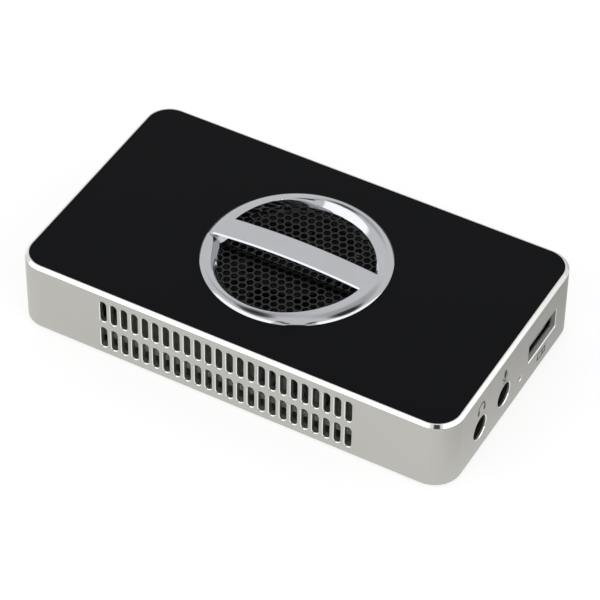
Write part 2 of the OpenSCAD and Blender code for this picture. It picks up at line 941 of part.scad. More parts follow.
// Contacts under the tongue: four long ones and, nearer its tip, five short pads
module usb_contacts() {
    l = usb_l - usb_back_l - usb_tongue_inset;
    color("#d8bd6a")
        at_front(usb_y, usb_z) {
            for (i = [-1.5 : 1.5])
                translate([-usb_l + usb_back_l, i * usb_pin_pitch - usb_pin_w / 2, usb_tongue_z - usb_pin_t])
                    cube([l / 2, usb_pin_w, usb_pin_t]);
            for (i = [-2 : 2])
                translate([-usb_l + usb_back_l + 0.6 * l, i * usb_pad_pitch - usb_pad_w / 2,
                    usb_tongue_z - usb_pin_t])
                    cube([l / 4, usb_pad_w, usb_pin_t]);
        }
}

// HDMI sockets: a shell with two cut lower corners around a thin tongue

module hdmi_outline(w, h, cut) {
    polygon([
        [-w / 2, h / 2], [-w / 2, cut - h / 2], [cut - w / 2, -h / 2],
        [w / 2 - cut, -h / 2], [w / 2, cut - h / 2], [w / 2, h / 2]
    ]);
}

module along_x(l) {
    translate([-l, 0, 0])
        rotate([90, 0, 90])
            linear_extrude(l)
                children();
}

module hdmi_shell() {
    t = shell_t;
    along_x(hdmi_l)
        difference() {
            hdmi_outline(hdmi_w, hdmi_h, hdmi_cut);
            hdmi_outline(hdmi_w - 2 * t, hdmi_h - 2 * t, hdmi_cut);
        }
    for (s = [-1, 1], x = [2 * hdmi_tab_w, hdmi_l - hdmi_tab_w])
        translate([-x - hdmi_tab_w / 2, s * (hdmi_w + t) / 2 - t / 2, -hdmi_h / 2])
            cube([hdmi_tab_w, t, hdmi_h / 2]);
}

module hdmi_insulator() {
    t = shell_t + fit_gap;
    translate([-hdmi_l + hdmi_back_l, 0, 0])
        along_x(hdmi_back_l)
            hdmi_outline(hdmi_w - 2 * t, hdmi_h - 2 * t, hdmi_cut);
    translate([-hdmi_l + hdmi_back_l - eps, -hdmi_tongue_w / 2, hdmi_tongue_z])
        cube([hdmi_l - hdmi_back_l - hdmi_tongue_inset, hdmi_tongue_w, hdmi_tongue_t]);
}

module hdmi_contacts() {
    l = hdmi_l - hdmi_back_l - 2 * hdmi_tongue_inset;
    for (i = [-4.5 : 4.5])
        translate([-hdmi_l + hdmi_back_l, i * hdmi_pin_pitch - hdmi_pin_w / 2, hdmi_tongue_z + hdmi_tongue_t])
            cube([l, hdmi_pin_w, hdmi_pin_t]);
    for (i = [-4 : 4])
        translate([-hdmi_l + hdmi_back_l, i * hdmi_pin_pitch - hdmi_pin_w / 2, hdmi_tongue_z - hdmi_pin_t])
            cube([l, hdmi_pin_w, hdmi_pin_t]);
}

module hdmi_in_shell() {
    color("#c4c6c8")
        at_back(hdmi_in_y, hdmi_z)
            hdmi_shell();
}

module hdmi_in_insulator() {
    color("#1b1c1f")
        at_back(hdmi_in_y, hdmi_z)
            hdmi_insulator();
}

module hdmi_in_contacts() {
    color("#d8bd6a")
        at_back(hdmi_in_y, hdmi_z)
            hdmi_contacts();
}

module hdmi_out_shell() {
    color("#c4c6c8")
        at_back(hdmi_out_y, hdmi_z)
            hdmi_shell();
}

module hdmi_out_insulator() {
    color("#1b1c1f")
        at_back(hdmi_out_y, hdmi_z)
            hdmi_insulator();
}

module hdmi_out_contacts() {
    color("#d8bd6a")
        at_back(hdmi_out_y, hdmi_z)
            hdmi_contacts();
}

// Status light

module status_led() {
    color("#f2eecb")
        translate([board_l / 2 - led_t, led_y - led_w / 2, z_top])
            cube([led_t, led_w, 2 * led_axis_h]);
}

module light_pipe() {
    start = board_l / 2 + fit_gap;
    color("#f4f5f2")
        translate([start, led_y, led_z])
            rotate([0, 90, 0])
                cylinder(body_l / 2 - pipe_inset - start, r = pipe_r);
}

// Parts on the board

module main_chip() {
    color("#2b2c2e")
        chip(0, 0, chip_w, chip_w, chip_h);
}

module thermal_pad() {
    color("#8fa3b5")
        translate([-chip_w / 2, -chip_w / 2, z_pad])
            cube([chip_w, chip_w, pad_t]);
}

module heat_sink() {
    step = (sink_w - fin_t) / (fin_count - 1);
    color("#3a3b3d")
        translate([-sink_w / 2, -sink_w / 2, z_sink]) {
            cube([sink_w, sink_w, sink_base_t]);
            for (i = [0 : fin_count - 1])
                translate([i * step, 0, sink_base_t - eps])
                    cube([fin_t, sink_w, fin_h + eps]);
        }
}

module memory_chips() {
    color("#2b2c2e")
        for (s = [-1, 1])
            chip(memory_x, s * memory_y, memory_l, memory_w, small_chip_h);
}

module receiver_chip() {
    color("#2b2c2e")
        chip(receiver_x, hdmi_in_y, receiver_w, receiver_w, small_chip_h);
}

module transmitter_chip() {
    color("#2b2c2e")
        chip(transmitter_x, hdmi_out_y, transmitter_w, transmitter_w, small_chip_h);
}

module usb_controller() {
    color("#2b2c2e")
        chip(usb_chip_x, usb_y, usb_chip_w, usb_chip_w, small_chip_h);
}

module audio_codec() {
    color("#2b2c2e")
        chip(codec_x, codec_y, codec_w, codec_w, small_chip_h);
}

module flash_memory() {
    color("#2b2c2e")
        chip(flash_x, codec_y, flash_l, flash_w, small_chip_h);
}

module power_inductors() {
    color("#4a4a4c")
        for (i = [1 : 3])
            translate([-i * inductor_pitch, edge_row_y, z_top])
                difference() {
                    rounded_plate(inductor_w, inductor_w, inductor_w / 6, inductor_h);
                    translate([0, 0, 0.93 * inductor_h])
                        cylinder(inductor_h, r = inductor_w / 3);
                }
}

module bulk_capacitors() {
    base_h = 0.15 * capacitor_h;
    color("#b9bbbe")
        for (i = [0.5 : 2.5])
            translate([i * capacitor_pitch, -edge_row_y, z_top]) {
                translate([-capacitor_r, -capacitor_r, 0])
                    cube([2 * capacitor_r, 2 * capacitor_r, base_h]);
                cylinder(capacitor_h, r = 0.97 * capacitor_r);
            }
}

module crystals() {
    color("#c4c6c8")
        for (p = [
            [-sink_w / 2 - part_gap - crystal_l / 2, -memory_y - memory_w / 2 - part_gap - crystal_w / 2],
            [usb_chip_x - usb_chip_w / 2 - part_gap - crystal_l / 2, usb_y]
        ])
            chip(p[0], p[1], crystal_l, crystal_w, small_chip_h);
}

// Fan: frame with base and bearing tube, motor, and the turning hub with its blades

module fan_frame() {
    strut_w = 1.8;
    color("#1d1e20")
        translate([0, 0, z_fan]) {
            difference() {
                rounded_plate(fan_w, fan_w, 3, fan_t);
                translate([0, 0, -1])
                    cylinder(fan_t + 2, r = fan_bore_r);
                at_corners(fan_hole, fan_hole)
                    translate([0, 0, -1])
                        cylinder(fan_t + 2, r = fan_hole_r);
                translate([fan_w / 2 - 0.5, -lead_pitch - 1, -1])
                    cube([1, 2 * lead_pitch + 2, base_t + 1.4]);
            }
            difference() {
                union() {
                    cylinder(base_t, r = hub_r);
                    for (a = [20 : 90 : 290])
                        rotate(a)
                            translate([hub_r - 1, -strut_w / 2, 0])
                                cube([fan_bore_r - hub_r + 1.4, strut_w, base_t]);
                    cylinder(tube_top, r = tube_r);
                }
                translate([0, 0, washer_z])
                    cylinder(fan_t, r = tube_in_r);
            }
        }
}

module fan_screws() {
    color("#55575a")
        translate([0, 0, z_fan])
            at_corners(fan_hole, fan_hole)
                mirror([0, 0, 1])
                    pan_screw(fan_screw_r, fan_t + deck_t - fit_gap, fan_head_r, fan_head_h);
}

module fan_circuit() {
    color("#1f4a33")
        translate([0, 0, z_fan + base_t])
            linear_extrude(circuit_t)
                difference() {
                    circle(stator_r);
                    circle(tube_r + fit_gap);
                }
}

module stator_section() {
    shoe_in = stator_r - shoe_t;
    difference() {
        union() {
            circle(core_r);
            for (a = [0 : 90 : 270])
                rotate(a)
                    translate([0, -pole_w / 2])
                        square([shoe_in + shoe_t / 2, pole_w]);
            intersection() {
                difference() {
                    circle(stator_r);
                    circle(shoe_in);
                }
                for (a = [0 : 90 : 270])
                    rotate(a)
                        polygon([[0, 0], [2 * stator_r, -1.3 * stator_r], [2 * stator_r, 1.3 * stator_r]]);
            }
        }
        circle(tube_r + fit_gap);
    }
}

module fan_stator() {
    color("#8b8d90")
        translate([0, 0, z_fan + coil_low + coil_wrap])
            linear_extrude(coil_high - coil_low - 2 * coil_wrap)
                stator_section();
}

module fan_coils() {
    start = core_r + 0.1;
    l = stator_r - shoe_t - 0.1 - start;
    h = coil_high - coil_low;
    core_h = h - 2 * coil_wrap + 2 * fit_gap;
    w = pole_w + 2 * fit_gap;
    color("#b87333")
        translate([0, 0, z_fan + coil_low])
            for (a = [0 : 90 : 270])
                rotate(a)
                    difference() {
                        translate([start, -w / 2 - coil_wrap, 0])
                            cube([l, w + 2 * coil_wrap, h]);
                        translate([start - 1, -w / 2, (h - core_h) / 2])
                            cube([l + 2, w, core_h]);
                    }
}

module fan_bearing() {
    low = washer_z + washer_t;
    color("#a9884f")
        translate([0, 0, z_fan + low])
            difference() {
                cylinder(tube_top - low, r = bearing_r);
                translate([0, 0, -1])
                    cylinder(fan_t, r = bearing_in_r);
            }
}

module thrust_washer() {
    color("#e3ded0")
        translate([0, 0, z_fan + washer_z])
            cylinder(washer_t, r = bearing_r);
}

// Plan of one blade: a strip from the hub to the tip, swept back as it goes out
module blade_plan() {
    sweep = 14;
    root = hub_r - 0.4;
    steps = 4;
    radii = [for (i = [0 : steps]) root + (tip_r - root) * i / steps];
    half = blade_t / 2;
    polygon(concat(
        [for (i = [0 : steps]) polar(radii[i], sweep * i / steps - degrees(half, radii[i]))],
        [for (i = [steps : -1 : 0]) polar(radii[i], sweep * i / steps + degrees(half, radii[i]))]
    ));
}

function polar(r, a) = [r * cos(a), r * sin(a)];
function degrees(arc, r) = arc / r * 180 / PI;

module fan_impeller() {
    blade_low = hub_low + 0.2;
    blade_h = fan_t - hub_gap - 0.2 - blade_low;
    color("#26272a")
        translate([0, 0, z_fan]) {
            difference() {
                translate([0, 0, hub_low])
                    cylinder(fan_t - hub_gap - hub_low, r = hub_r);
                translate([0, 0, -1])
                    cylinder(hub_under + 1, r = hub_in_r);
                cylinder(2 * fan_t, r = shaft_r + eps);
            }
            difference() {
                translate([0, 0, tube_top + 0.2])
                    cylinder(hub_under - tube_top, r = shaft_r + 0.9);
                cylinder(2 * fan_t, r = shaft_r + eps);
            }
            for (i = [0 : blade_count - 1])
                rotate(i * 360 / blade_count)
                    translate([0, 0, blade_low])
                        linear_extrude(blade_h, twist = -blade_turn, slices = 6, $fn = 10)
                            blade_plan();
        }
}

module fan_magnet() {
    color("#4b4642")
        translate([0, 0, z_fan + hub_low])
            difference() {
                cylinder(hub_under - hub_low, r = magnet_r);
                translate([0, 0, -1])
                    cylinder(fan_t + 2, r = magnet_r - magnet_t);
            }
}

module fan_shaft() {
    low = washer_z + washer_t + 0.1;
    color("#d5d7da")
        translate([0, 0, z_fan + low])
            cylinder(fan_t - hub_gap - low, r = shaft_r);
}

// Fan lead: header on the board, plug in it and three wires

module fan_header() {
    l = plug_l + 2 * header_wall;
    color("#efece2")
        translate([plug_x - header_w / 2, -l / 2, z_top])
            difference() {
                cube([header_w, l, header_h + plug_h / 2]);
                translate([header_wall, header_wall, header_h])
                    cube([header_w - 2 * header_wall, plug_l, plug_h]);
            }
}

module fan_plug() {
    l = plug_l - 2 * fit_gap;
    w = header_w - 2 * header_wall - 2 * fit_gap;
    color("#efece2")
        translate([plug_x - w / 2, -l / 2, plug_z])
            cube([w, l, plug_h]);
}

module fan_lead() {
    start = fan_w / 2 - 0.5;
    bend_x = plug_x - lead_bend;
    bend_z = lead_z - lead_bend;
    color("#c23b2e")
        for (k = [-1, 0, 1])
            translate([0, k * lead_pitch, 0]) {
                translate([start, 0, lead_z])
                    rotate([0, 90, 0])
                        cylinder(bend_x - start, r = lead_r, $fn = 24);
                translate([bend_x, 0, bend_z])
                    rotate([90, 0, 0])
                        rotate_extrude(angle = 90, $fn = 48)
                            translate([lead_bend, 0])
                                circle(lead_r, $fn = 24);
                translate([plug_x, 0, plug_z + plug_h])
                    cylinder(bend_z - plug_z - plug_h, r = lead_r, $fn = 24);
            }
}

housing();
top_panel();
panel_adhesive();
trim_ring();
grille();
bottom_cover();
cover_screws();
rubber_feet();
main_board();
board_standoffs();
board_screws();
headphone_jack();
headphone_contacts();
mic_jack();
mic_contacts();
usb_shell();
usb_insulator();
usb_contacts();
hdmi_in_shell();
hdmi_in_insulator();
hdmi_in_contacts();
hdmi_out_shell();
hdmi_out_insulator();
hdmi_out_contacts();
status_led();
light_pipe();
main_chip();
thermal_pad();
heat_sink();
memory_chips();
receiver_chip();
transmitter_chip();
usb_controller();
audio_codec();
flash_memory();
power_inductors();
bulk_capacitors();
crystals();
fan_frame();
fan_screws();
fan_circuit();
fan_stator();
fan_coils();
fan_bearing();
thrust_washer();
fan_impeller();
fan_magnet();
fan_shaft();
fan_header();
fan_plug();
fan_lead();
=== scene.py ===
"""Looks of a video capture box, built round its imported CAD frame.

Laid out as an add-on: each operator makes one piece or one group of like pieces, and the last one
sets the stage. All lengths are in metres in the CAD frame.
"""
import math

import bmesh
import bpy
from bpy.props import FloatProperty, FloatVectorProperty, PointerProperty
from mathutils import Matrix, Vector


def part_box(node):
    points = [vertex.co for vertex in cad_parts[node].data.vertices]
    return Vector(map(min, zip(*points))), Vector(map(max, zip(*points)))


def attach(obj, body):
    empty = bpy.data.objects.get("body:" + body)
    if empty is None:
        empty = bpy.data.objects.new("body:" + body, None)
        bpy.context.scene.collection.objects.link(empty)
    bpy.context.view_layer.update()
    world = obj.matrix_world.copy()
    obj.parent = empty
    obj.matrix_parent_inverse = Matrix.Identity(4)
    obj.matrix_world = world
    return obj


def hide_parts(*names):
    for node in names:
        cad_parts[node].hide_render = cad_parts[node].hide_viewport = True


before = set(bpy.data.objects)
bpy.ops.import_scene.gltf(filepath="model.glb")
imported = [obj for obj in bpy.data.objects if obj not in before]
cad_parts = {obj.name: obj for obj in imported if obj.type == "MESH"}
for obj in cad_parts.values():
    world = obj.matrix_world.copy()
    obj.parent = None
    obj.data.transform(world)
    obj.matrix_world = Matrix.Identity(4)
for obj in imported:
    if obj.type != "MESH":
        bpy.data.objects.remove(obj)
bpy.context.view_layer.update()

bl_info = {
    "name": "Video capture box",
    "version": (1, 0, 0),
    "blender": (4, 5, 0),
    "location": "3D View > Sidebar > Capture box",
    "description": "Builds the finished pieces of a video capture box round its CAD frame",
    "category": "Object",
}

MM = 0.001
WELD = 0.0005 * MM


def span(node):
    """Lowest and highest corner of a CAD node."""
    low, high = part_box(node)
    return Vector(low), Vector(high)


BODY_LOW, BODY_HIGH = span("housing")
PANEL_LOW, PANEL_HIGH = span("top_panel")
GRILLE_LOW, GRILLE_HIGH = span("grille")
SCREWS_LOW, SCREWS_HIGH = span("cover_screws")
USB_LOW, USB_HIGH = span("usb_shell")
PIPE_LOW, PIPE_HIGH = span("light_pipe")
RING_HIGH = span("trim_ring")[1]
COVER_TOP = span("bottom_cover")[1].z
DECK_LOW = span("fan_frame")[1].z
SEAT = span("panel_adhesive")[0].z
JACKS = ("headphone_jack", "mic_jack")
HDMI = ("hdmi_in", "hdmi_out")

# Places of the housing's finishes in its list of materials. The bore's finish is painted shade.
WALL, EDGE, MARK, PAINTED_SHADE_BORE, CUT = range(5)
# How far a cutter stands out of the face that it cuts.
OVERLAP = 0.2 * MM
VENTS_IN_ROW = 24
SCREW_INSET = 1.9 * MM
SCREW_HOLE = 1.0 * MM
SIGN_HEIGHT = 14.3 * MM
PLUG_SIGN_HEIGHT = 4.4 * MM
PANEL_SOFT = 0.08 * MM
JACK_SOFT = 0.15 * MM
# Loops of the trim ring's section over its brow and its dome, and steps round it.
BROW_LOOPS, DOME_LOOPS, RING_STEPS = 42, 20, 240
# Width of the strip beside the bar, and how near a point lies to a surface that it belongs to.
BAR_STRIP, ON_SURFACE = 0.06 * MM, 0.03 * MM
# Runs of a window's slope for its height: up to the first it isn't blended, from the second fully.
STEEP, GENTLE = 0.15, 0.4
GRILLE_SIDES = 120

# Camera, solved from the straight edges of the box: focal length and sensor width in mm, place in
# metres, then azimuth, elevation and roll in degrees.
CAMERA_LENS, CAMERA_SENSOR = 187.72, 36.0
CAMERA_PLACE = (0.261389, -0.477362, 0.528135)
CAMERA_TURN = (28.609, 43.786, 0.910)
# How the floor darkens in mirrors: its direction, where that starts and ends, and what is left.
FADE_WAY, FADE_START, FADE_END, FADE_LEFT = (0.9, 0.44, 0), 32 * MM, 88 * MM, 0.36

# Softboxes of the tent, in degrees: azimuth and height of the middle of the top edge, then the
# azimuths at which the softbox ends on the camera's side and on the other side.
# Each edge is soft: it starts to fade at these angles from its pole, for the top edge, the edge on
# the camera's side and the other one, and ends a quarter turn from it.
SOFTBOX_FADES, QUARTER = (86, 87, 82), 90
SOFTBOXES = ((-98, 56.4, -88, -165), (-33, 55.7, -38, 60))
# Gaps in the tent: azimuth, height, the angles at which a gap ends and has faded out, and the share
# of the light that it takes away.
GAPS = (
    (-61, 37.5, 10.5, 12.5, 0.95), (-84, 59, 1.5, 5, 0.9), (-75, 53.5, 1.5, 5, 0.9),
    (-37, 56.5, 1.5, 5, 0.9), (-45, 51.5, 1.5, 4.5, 0.9), (16, 56, 6, 17, 0.92),
    (-143, 66, 5, 16, 0.9), (-175, 73, 1, 9, 0.7), (48, 62, 4, 28, 0.35), (166, 62, 4, 28, 0.35))


# Settings

def linear(code):
    """A colour such as #8a8a8a as linear red, green and blue."""
    shares = [int(code[at:at + 2], 16) / 255 for at in (1, 3, 5)]
    return tuple(c / 12.92 if c <= 0.04045 else ((c + 0.055) / 1.055) ** 2.4 for c in shares)


def length(name, mm, description):
    """A size, given in mm."""
    return FloatProperty(
        name=name, description=description, default=mm * MM, precision=5,
        unit="LENGTH", subtype="DISTANCE")


def paint(name, code, description):
    """A colour, given as sRGB hex."""
    return FloatVectorProperty(
        name=name, description=description, default=linear(code), min=0.0, max=1.0,
        size=3, subtype="COLOR")


def level(name, value, description):
    """A brightness."""
    return FloatProperty(name=name, description=description, default=value, min=0.0)


class CaptureBoxHousing(bpy.types.PropertyGroup):
    """Sizes of the aluminium housing."""

    corner: length("Corner radius", 6.9, "Radius of the four upright corners")
    wall: length("Wall", 1.5, "Thickness of the side walls")
    chamfer: length("Top chamfer", 0.7, "Leg of the polished chamfer round the top")
    rim: length("Rim", 0.3, "Flat rim between the chamfer and the panel")
    sole: length("Bottom break", 0.3, "Leg of the broken edge round the bottom")
    boss: length("Boss radius", 2.7, "Radius of the screw bosses in the corners")
    vent_width: length("Vent width", 1.75, "Width of one vent slot")
    vent_height: length("Vent height", 6.3, "Height of one vent slot")
    vent_pitch: length("Vent pitch", 2.87, "Distance between neighbouring slots")
    vent_rows: length("Row distance", 8.3, "Distance between the two rows of slots")
    vent_drop: length("Row depth", 5.85, "Centre of the upper row below the rim")
    vent_shift: length("Row shift", -0.6, "Middle of the rows along the box")
    vent_break: length("Vent chamfer", 0.16, "Leg of the chamfer round a slot")
    port_break: length("Port chamfer", 0.25, "Leg of the chamfer round a port")
    jack_hole: length("Jack hole", 3.15, "Radius of the holes in front of the jacks")
    usb_width: length("USB opening width", 14.6, "Width of the opening for the USB socket")
    usb_height: length("USB opening height", 5.9, "Height of the opening for the USB socket")
    hdmi_width: length("HDMI opening width", 15.6, "Width of an opening for an HDMI socket")
    hdmi_height: length("HDMI opening height", 6.2, "Height of an opening for an HDMI socket")
    lamp_hole: length("Lamp hole", 0.75, "Radius of the hole for the light pipe")
    mark: length("Mark depth", 0.05, "Depth of the laser-marked signs")


class CaptureBoxTrim(bpy.types.PropertyGroup):
    """Sizes of the trim ring and the grille under it."""

    foot: length("Window foot", 19.0, "Radius of the windows at the foot of their slopes")
    foot_step: length("Foot step", 0.1, "Step from the windows' foot out to the skirt's bore")
    foot_depth: length("Foot depth", 1.1, "Foot of the windows' slopes below the panel's face")
    spread: length("Window spread", 1.45, "Growth of a window's radius up to the ring's top")
    shift: length("Window shift", 1.45, "Shift of a window's upper edge towards its end of the bar")
    rise: length("Dome rise", 1.25, "Rise of the dome from the ring's top to the crown")
    edge: length("Ring edge", 0.12, "Height of the ring's outer edge above the panel")
    bar: length("Bar width", 6.9, "Width of the bar across the ring")
    bar_break: length("Bar bevel", 0.36, "Leg of the bevel along the bar")
    bar_sink: length("Bar depth", 0.5, "Depth of the bar below the panel's face")
    blend: length("Window blend", 2.2, "Height over which a window's slope runs into the top")
    round: length("Window edge", 0.1, "Rounding of the sharp edges round the windows and the bar")
    seat_gap: length("Seat gap", 0.06, "Gap round the ring's skirt and round the panel")
    pitch: length("Grille pitch", 2.15, "Distance between neighbouring grille holes")
    web: length("Grille web", 0.45, "Width of the metal between two holes")
    border: length("Grille border", 0.3, "Plain border round the pierced part of the grille")
    soft: length("Grille edge", 0.06, "Rounding of the grille's edges")


class CaptureBoxPorts(bpy.types.PropertyGroup):
    """Sizes of the sockets."""

    jack_rise: length("Jack axis", 2.8, "Height of a jack's axis above the board")
    nose: length("Jack nose", 2.5, "Radius of a jack's nose")
    nose_length: length("Nose length", 1.6, "Length of a jack's nose")
    bore: length("Jack bore", 1.8, "Radius of a jack's bore")
    bore_depth: length("Bore depth", 12.6, "Depth of a jack's bore")
    usb_height: length("USB shell height", 5.7, "Height of the USB shell")


class CaptureBoxLooks(bpy.types.PropertyGroup):
    """Colours of the finishes that show most, and levels of the light."""

    walls: paint("Housing", "#cbcac5", "Blasted and anodised aluminium of the walls")
    walls_dark: paint("Housing grain", "#b2b1ac", "Darker specks of the blasted walls")
    chamfer: paint("Chamfer", "#f4f4f2", "Diamond-cut edge of the housing")
    panel: paint("Panel", "#0b0c10", "Satin black of the top panel")
    chrome: paint("Chrome", "#cdcfd2", "Chrome of the trim ring")
    mesh: paint("Grille", "#18181a", "Paint of the grille")
    # The board's tone is painted light: paler than real solder mask, standing in for the light
    # inside the vents.
    board: paint("Board", "#a2b2a5", "Solder mask of the board")
    floor: paint("Floor", "#e2e2e2", "Pale studio floor")
    world: level("Tent", 0.8, "Brightness of the white tent round the stage")
    softbox: level("Softboxes", 1.6, "Brightness of the softboxes beside the camera")


class CaptureBoxSettings(bpy.types.PropertyGroup):
    """All sizes and colours of the capture box."""

    housing: PointerProperty(type=CaptureBoxHousing)
    trim: PointerProperty(type=CaptureBoxTrim)
    ports: PointerProperty(type=CaptureBoxPorts)
    looks: PointerProperty(type=CaptureBoxLooks)


# Shaping

def outline(bm, at, width, height, radius, steps=8, cut=0.0):
    """A flat rounded rectangle, or a circle where the height is 0, placed by the matrix at.

    A cut takes the two lower corners off at 45 degrees. Returns the face.
    """
    known = set(bm.verts)
    if height == 0:
        bmesh.ops.create_circle(bm, cap_ends=True, radius=width / 2, segments=steps * 4)
    else:
        made = bmesh.ops.create_grid(bm, x_segments=1, y_segments=1, size=0.5)["verts"]
        bmesh.ops.scale(bm, vec=(width, height, 1), verts=made)
        if cut:
            bmesh.ops.bevel(
                bm, geom=[v for v in made if v.co.y < 0], offset=cut, segments=1, profile=0.5,
                affect="VERTICES", material=-1)
        if radius:
            bmesh.ops.bevel(
                bm, geom=[v for v in bm.verts if v not in known], offset=radius, segments=steps,
                profile=0.5, affect="VERTICES", material=-1)
    made = [v for v in bm.verts if v not in known]
    bmesh.ops.transform(bm, matrix=at, verts=made)
    return made[0].link_faces[0]


def prism(bm, at, sections, steps=8, cut=0.0):
    """A closed solid through outlines along Z: (depth, width, height, radius, material) each."""
    faces = []
    for depth, width, height, radius, look in sections:
        placed = at @ Matrix.Translation((0, 0, depth))
        faces.append(outline(bm, placed, width, height, radius, steps, cut))
        faces[-1].material_index = look
    loops = [list(face.edges) for face in faces]
    bmesh.ops.delete(bm, geom=faces[1:-1], context="FACES_ONLY")
    for before, after, section in zip(loops, loops[1:], sections[1:]):
        for face in bmesh.ops.bridge_loops(bm, edges=before + after)["faces"]:
            face.material_index = section[4]


def disc(depth, radius):
    """A round section of a prism, in its first material."""
    return (depth, 2 * radius, 0.0, 0.0, 0)


def repeat(bm, geom, steps):
    """Copies of some geometry, moved by each of the steps."""
    for step in steps:
        copy = bmesh.ops.duplicate(bm, geom=geom)["geom"]
        moved = [v for v in copy if isinstance(v, bmesh.types.BMVert)]
        bmesh.ops.translate(bm, vec=step, verts=moved)


def everything(bm):
    """All the geometry of a shape."""
    return bm.verts[:] + bm.edges[:] + bm.faces[:]


def tidy(bm):
    """Merges doubles and turns all normals outward."""
    bmesh.ops.remove_doubles(bm, verts=bm.verts, dist=WELD)
    bmesh.ops.recalc_face_normals(bm, faces=bm.faces)


def carve(bm, tool, looks, operation="DIFFERENCE"):
    """The first closed shape cut by, or joined to, the second one. Both are used up."""
    shapes = []
    for shape in (bm, tool):
        tidy(shape)
        mesh = bpy.data.meshes.new("carving")
        for look in looks:
            mesh.materials.append(look)
        shape.to_mesh(mesh)
        shape.free()
        shapes.append(bpy.data.objects.new("carving", mesh))
        bpy.context.scene.collection.objects.link(shapes[-1])
    cut = shapes[0].modifiers.new("cut", "BOOLEAN")
    cut.operation = operation
    cut.solver = "EXACT"
    cut.material_mode = "INDEX"
    cut.object = shapes[1]
    result = bmesh.new()
    result.from_object(shapes[0], bpy.context.evaluated_depsgraph_get())
    for shape in shapes:
        bpy.data.meshes.remove(shape.data)
    if not result.faces:
        raise RuntimeError("a cut left nothing")
    return result


def piece(name, bm, looks, stands_for=(), body="case", sharp=32):
    """Makes the shape a shown object that rides on a CAD body."""
    tidy(bm)
    mesh = bpy.data.meshes.new(name)
    bm.to_mesh(mesh)
    bm.free()
    for look in looks:
        mesh.materials.append(look)
    mesh.shade_smooth()
    mesh.set_sharp_from_angle(angle=math.radians(sharp))
    made = bpy.data.objects.new(name, mesh)
    bpy.context.scene.collection.objects.link(made)
    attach(made, body)
    if stands_for:
        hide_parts(*stands_for)
    return made


def even_normals(obj):
    """Flat faces beside roundings keep an even shade."""
    even = obj.modifiers.new("even_normals", "WEIGHTED_NORMAL")
    even.keep_sharp = True
    even.weight = 100


def soften(obj, width, segments, angle=40):
    """Rounds the edges that turn by more than an angle in degrees."""
    soft = obj.modifiers.new("soft_edges", "BEVEL")
    soft.width = width
    soft.segments = segments
    soft.limit_method = "ANGLE"
    soft.angle_limit = math.radians(angle)


def on_wall(turn, along, height, out):
    """A place on a side wall: X along the wall, Y up, Z outward. Turn 0 is the -Y wall."""
    return (Matrix.Rotation(turn, 4, "Z") @ Matrix.Translation((along, -out, height))
            @ Matrix.Rotation(math.pi / 2, 4, "X"))


def corners(low, high, inset=0.0):
    """The four corner points of a box seen from above, moved inward."""
    return [(x, y) for x in (low.x + inset, high.x - inset)
            for y in (low.y + inset, high.y - inset)]


# Finishes

def add_node(tree, kind, inputs=None, **settings):
    """Adds a node with its settings. An input is a value or another node's output.

    A Mix node has its share at 0, its numbers at 2 and 3 and its colours at 6 and 7.
    """
    made = tree.nodes.new(kind)
    for key, value in settings.items():
        setattr(made, key, value)
    feed(tree, made, inputs or {})
    return made


def feed(tree, made, inputs):
    """Sets a node's inputs to values or links them to outputs."""
    for key, value in inputs.items():
        if isinstance(value, bpy.types.NodeSocket):
            tree.links.new(value, made.inputs[key])
        else:
            made.inputs[key].default_value = value


def start_finish(name):
    """A new material, its tree, its shader and its Object coordinates."""
    made = bpy.data.materials.new(name)
    made.use_nodes = True
    tree = made.node_tree
    place = add_node(tree, "ShaderNodeTexCoord").outputs["Object"]
    return made, tree, tree.nodes["Principled BSDF"], place


def rgba(colour):
    """A hex or linear colour with full alpha."""
    shares = linear(colour) if isinstance(colour, str) else tuple(colour)
    return (*shares, 1.0)


def grained(name, light, dark, grain, rough, relief, more):
    """A finish whose tone, gloss and relief follow one grain of a real size."""
    made, tree, shader, place = start_finish(name)
    noise = add_node(tree, "ShaderNodeTexNoise", {
        "Vector": place, "Scale": 1 / grain, "Detail": 3.0, "Roughness": 0.6}).outputs["Fac"]
    tone = add_node(tree, "ShaderNodeMix", {0: noise, 6: rgba(dark), 7: rgba(light)},
                    data_type="RGBA")
    gloss = add_node(tree, "ShaderNodeMapRange", {
        "Value": noise, "From Min": 0.3, "From Max": 0.7, "To Min": rough[0], "To Max": rough[1]})
    bump = add_node(tree, "ShaderNodeBump", {"Height": noise, "Strength": 1.0, "Distance": relief})
    feed(tree, shader, {
        "Base Color": tone.outputs[2], "Roughness": gloss.outputs["Result"],
        "Normal": bump.outputs["Normal"], **more})
    return made


def shared(make):
    """The finish that a function makes, made once and named after it."""
    return bpy.data.materials.get(make.__name__) or make(make.__name__)


def looks_of():
    """The colours and levels in the settings."""
    return bpy.context.scene.capture_box.looks


def blasted_anodised_aluminium(name):
    """Even pale grey metal with a fine matt sparkle, drawn coarser than real to show at all."""
    looks = looks_of()
    return grained(name, looks.walls, looks.walls_dark, 0.28 * MM, (0.4, 0.5), 0.006 * MM,
                   {"Metallic": 1.0})


def diamond_cut_aluminium(name):
    """A mirror-bright machined edge that flashes white."""
    looks = looks_of()
    return grained(name, looks.chamfer, "#e6e6e4", 0.5 * MM, (0.07, 0.12), 0.0005 * MM,
                   {"Metallic": 1.0})


def painted_shade_bore(name):
    """Painted shade in the bore in front of a jack: dark grey, darker than the outside of the wall,
    where the hole's depth lies in shade.
    """
    return grained(name, "#2b2b2b", "#202020", 0.28 * MM, (0.5, 0.6), 0.006 * MM, {"Metallic": 0.5})


def milled_aluminium(name):
    """Pale, dull cut faces inside the sockets' openings."""
    return grained(name, "#c4c4c2", "#b0b0ae", 0.28 * MM, (0.6, 0.7), 0.006 * MM, {"Metallic": 0.2})


def laser_mark(name):
    """Dark grey matt marks burnt into the anodising."""
    return grained(name, "#3a3a3a", "#282828", 0.15 * MM, (0.55, 0.7), 0.002 * MM, {})


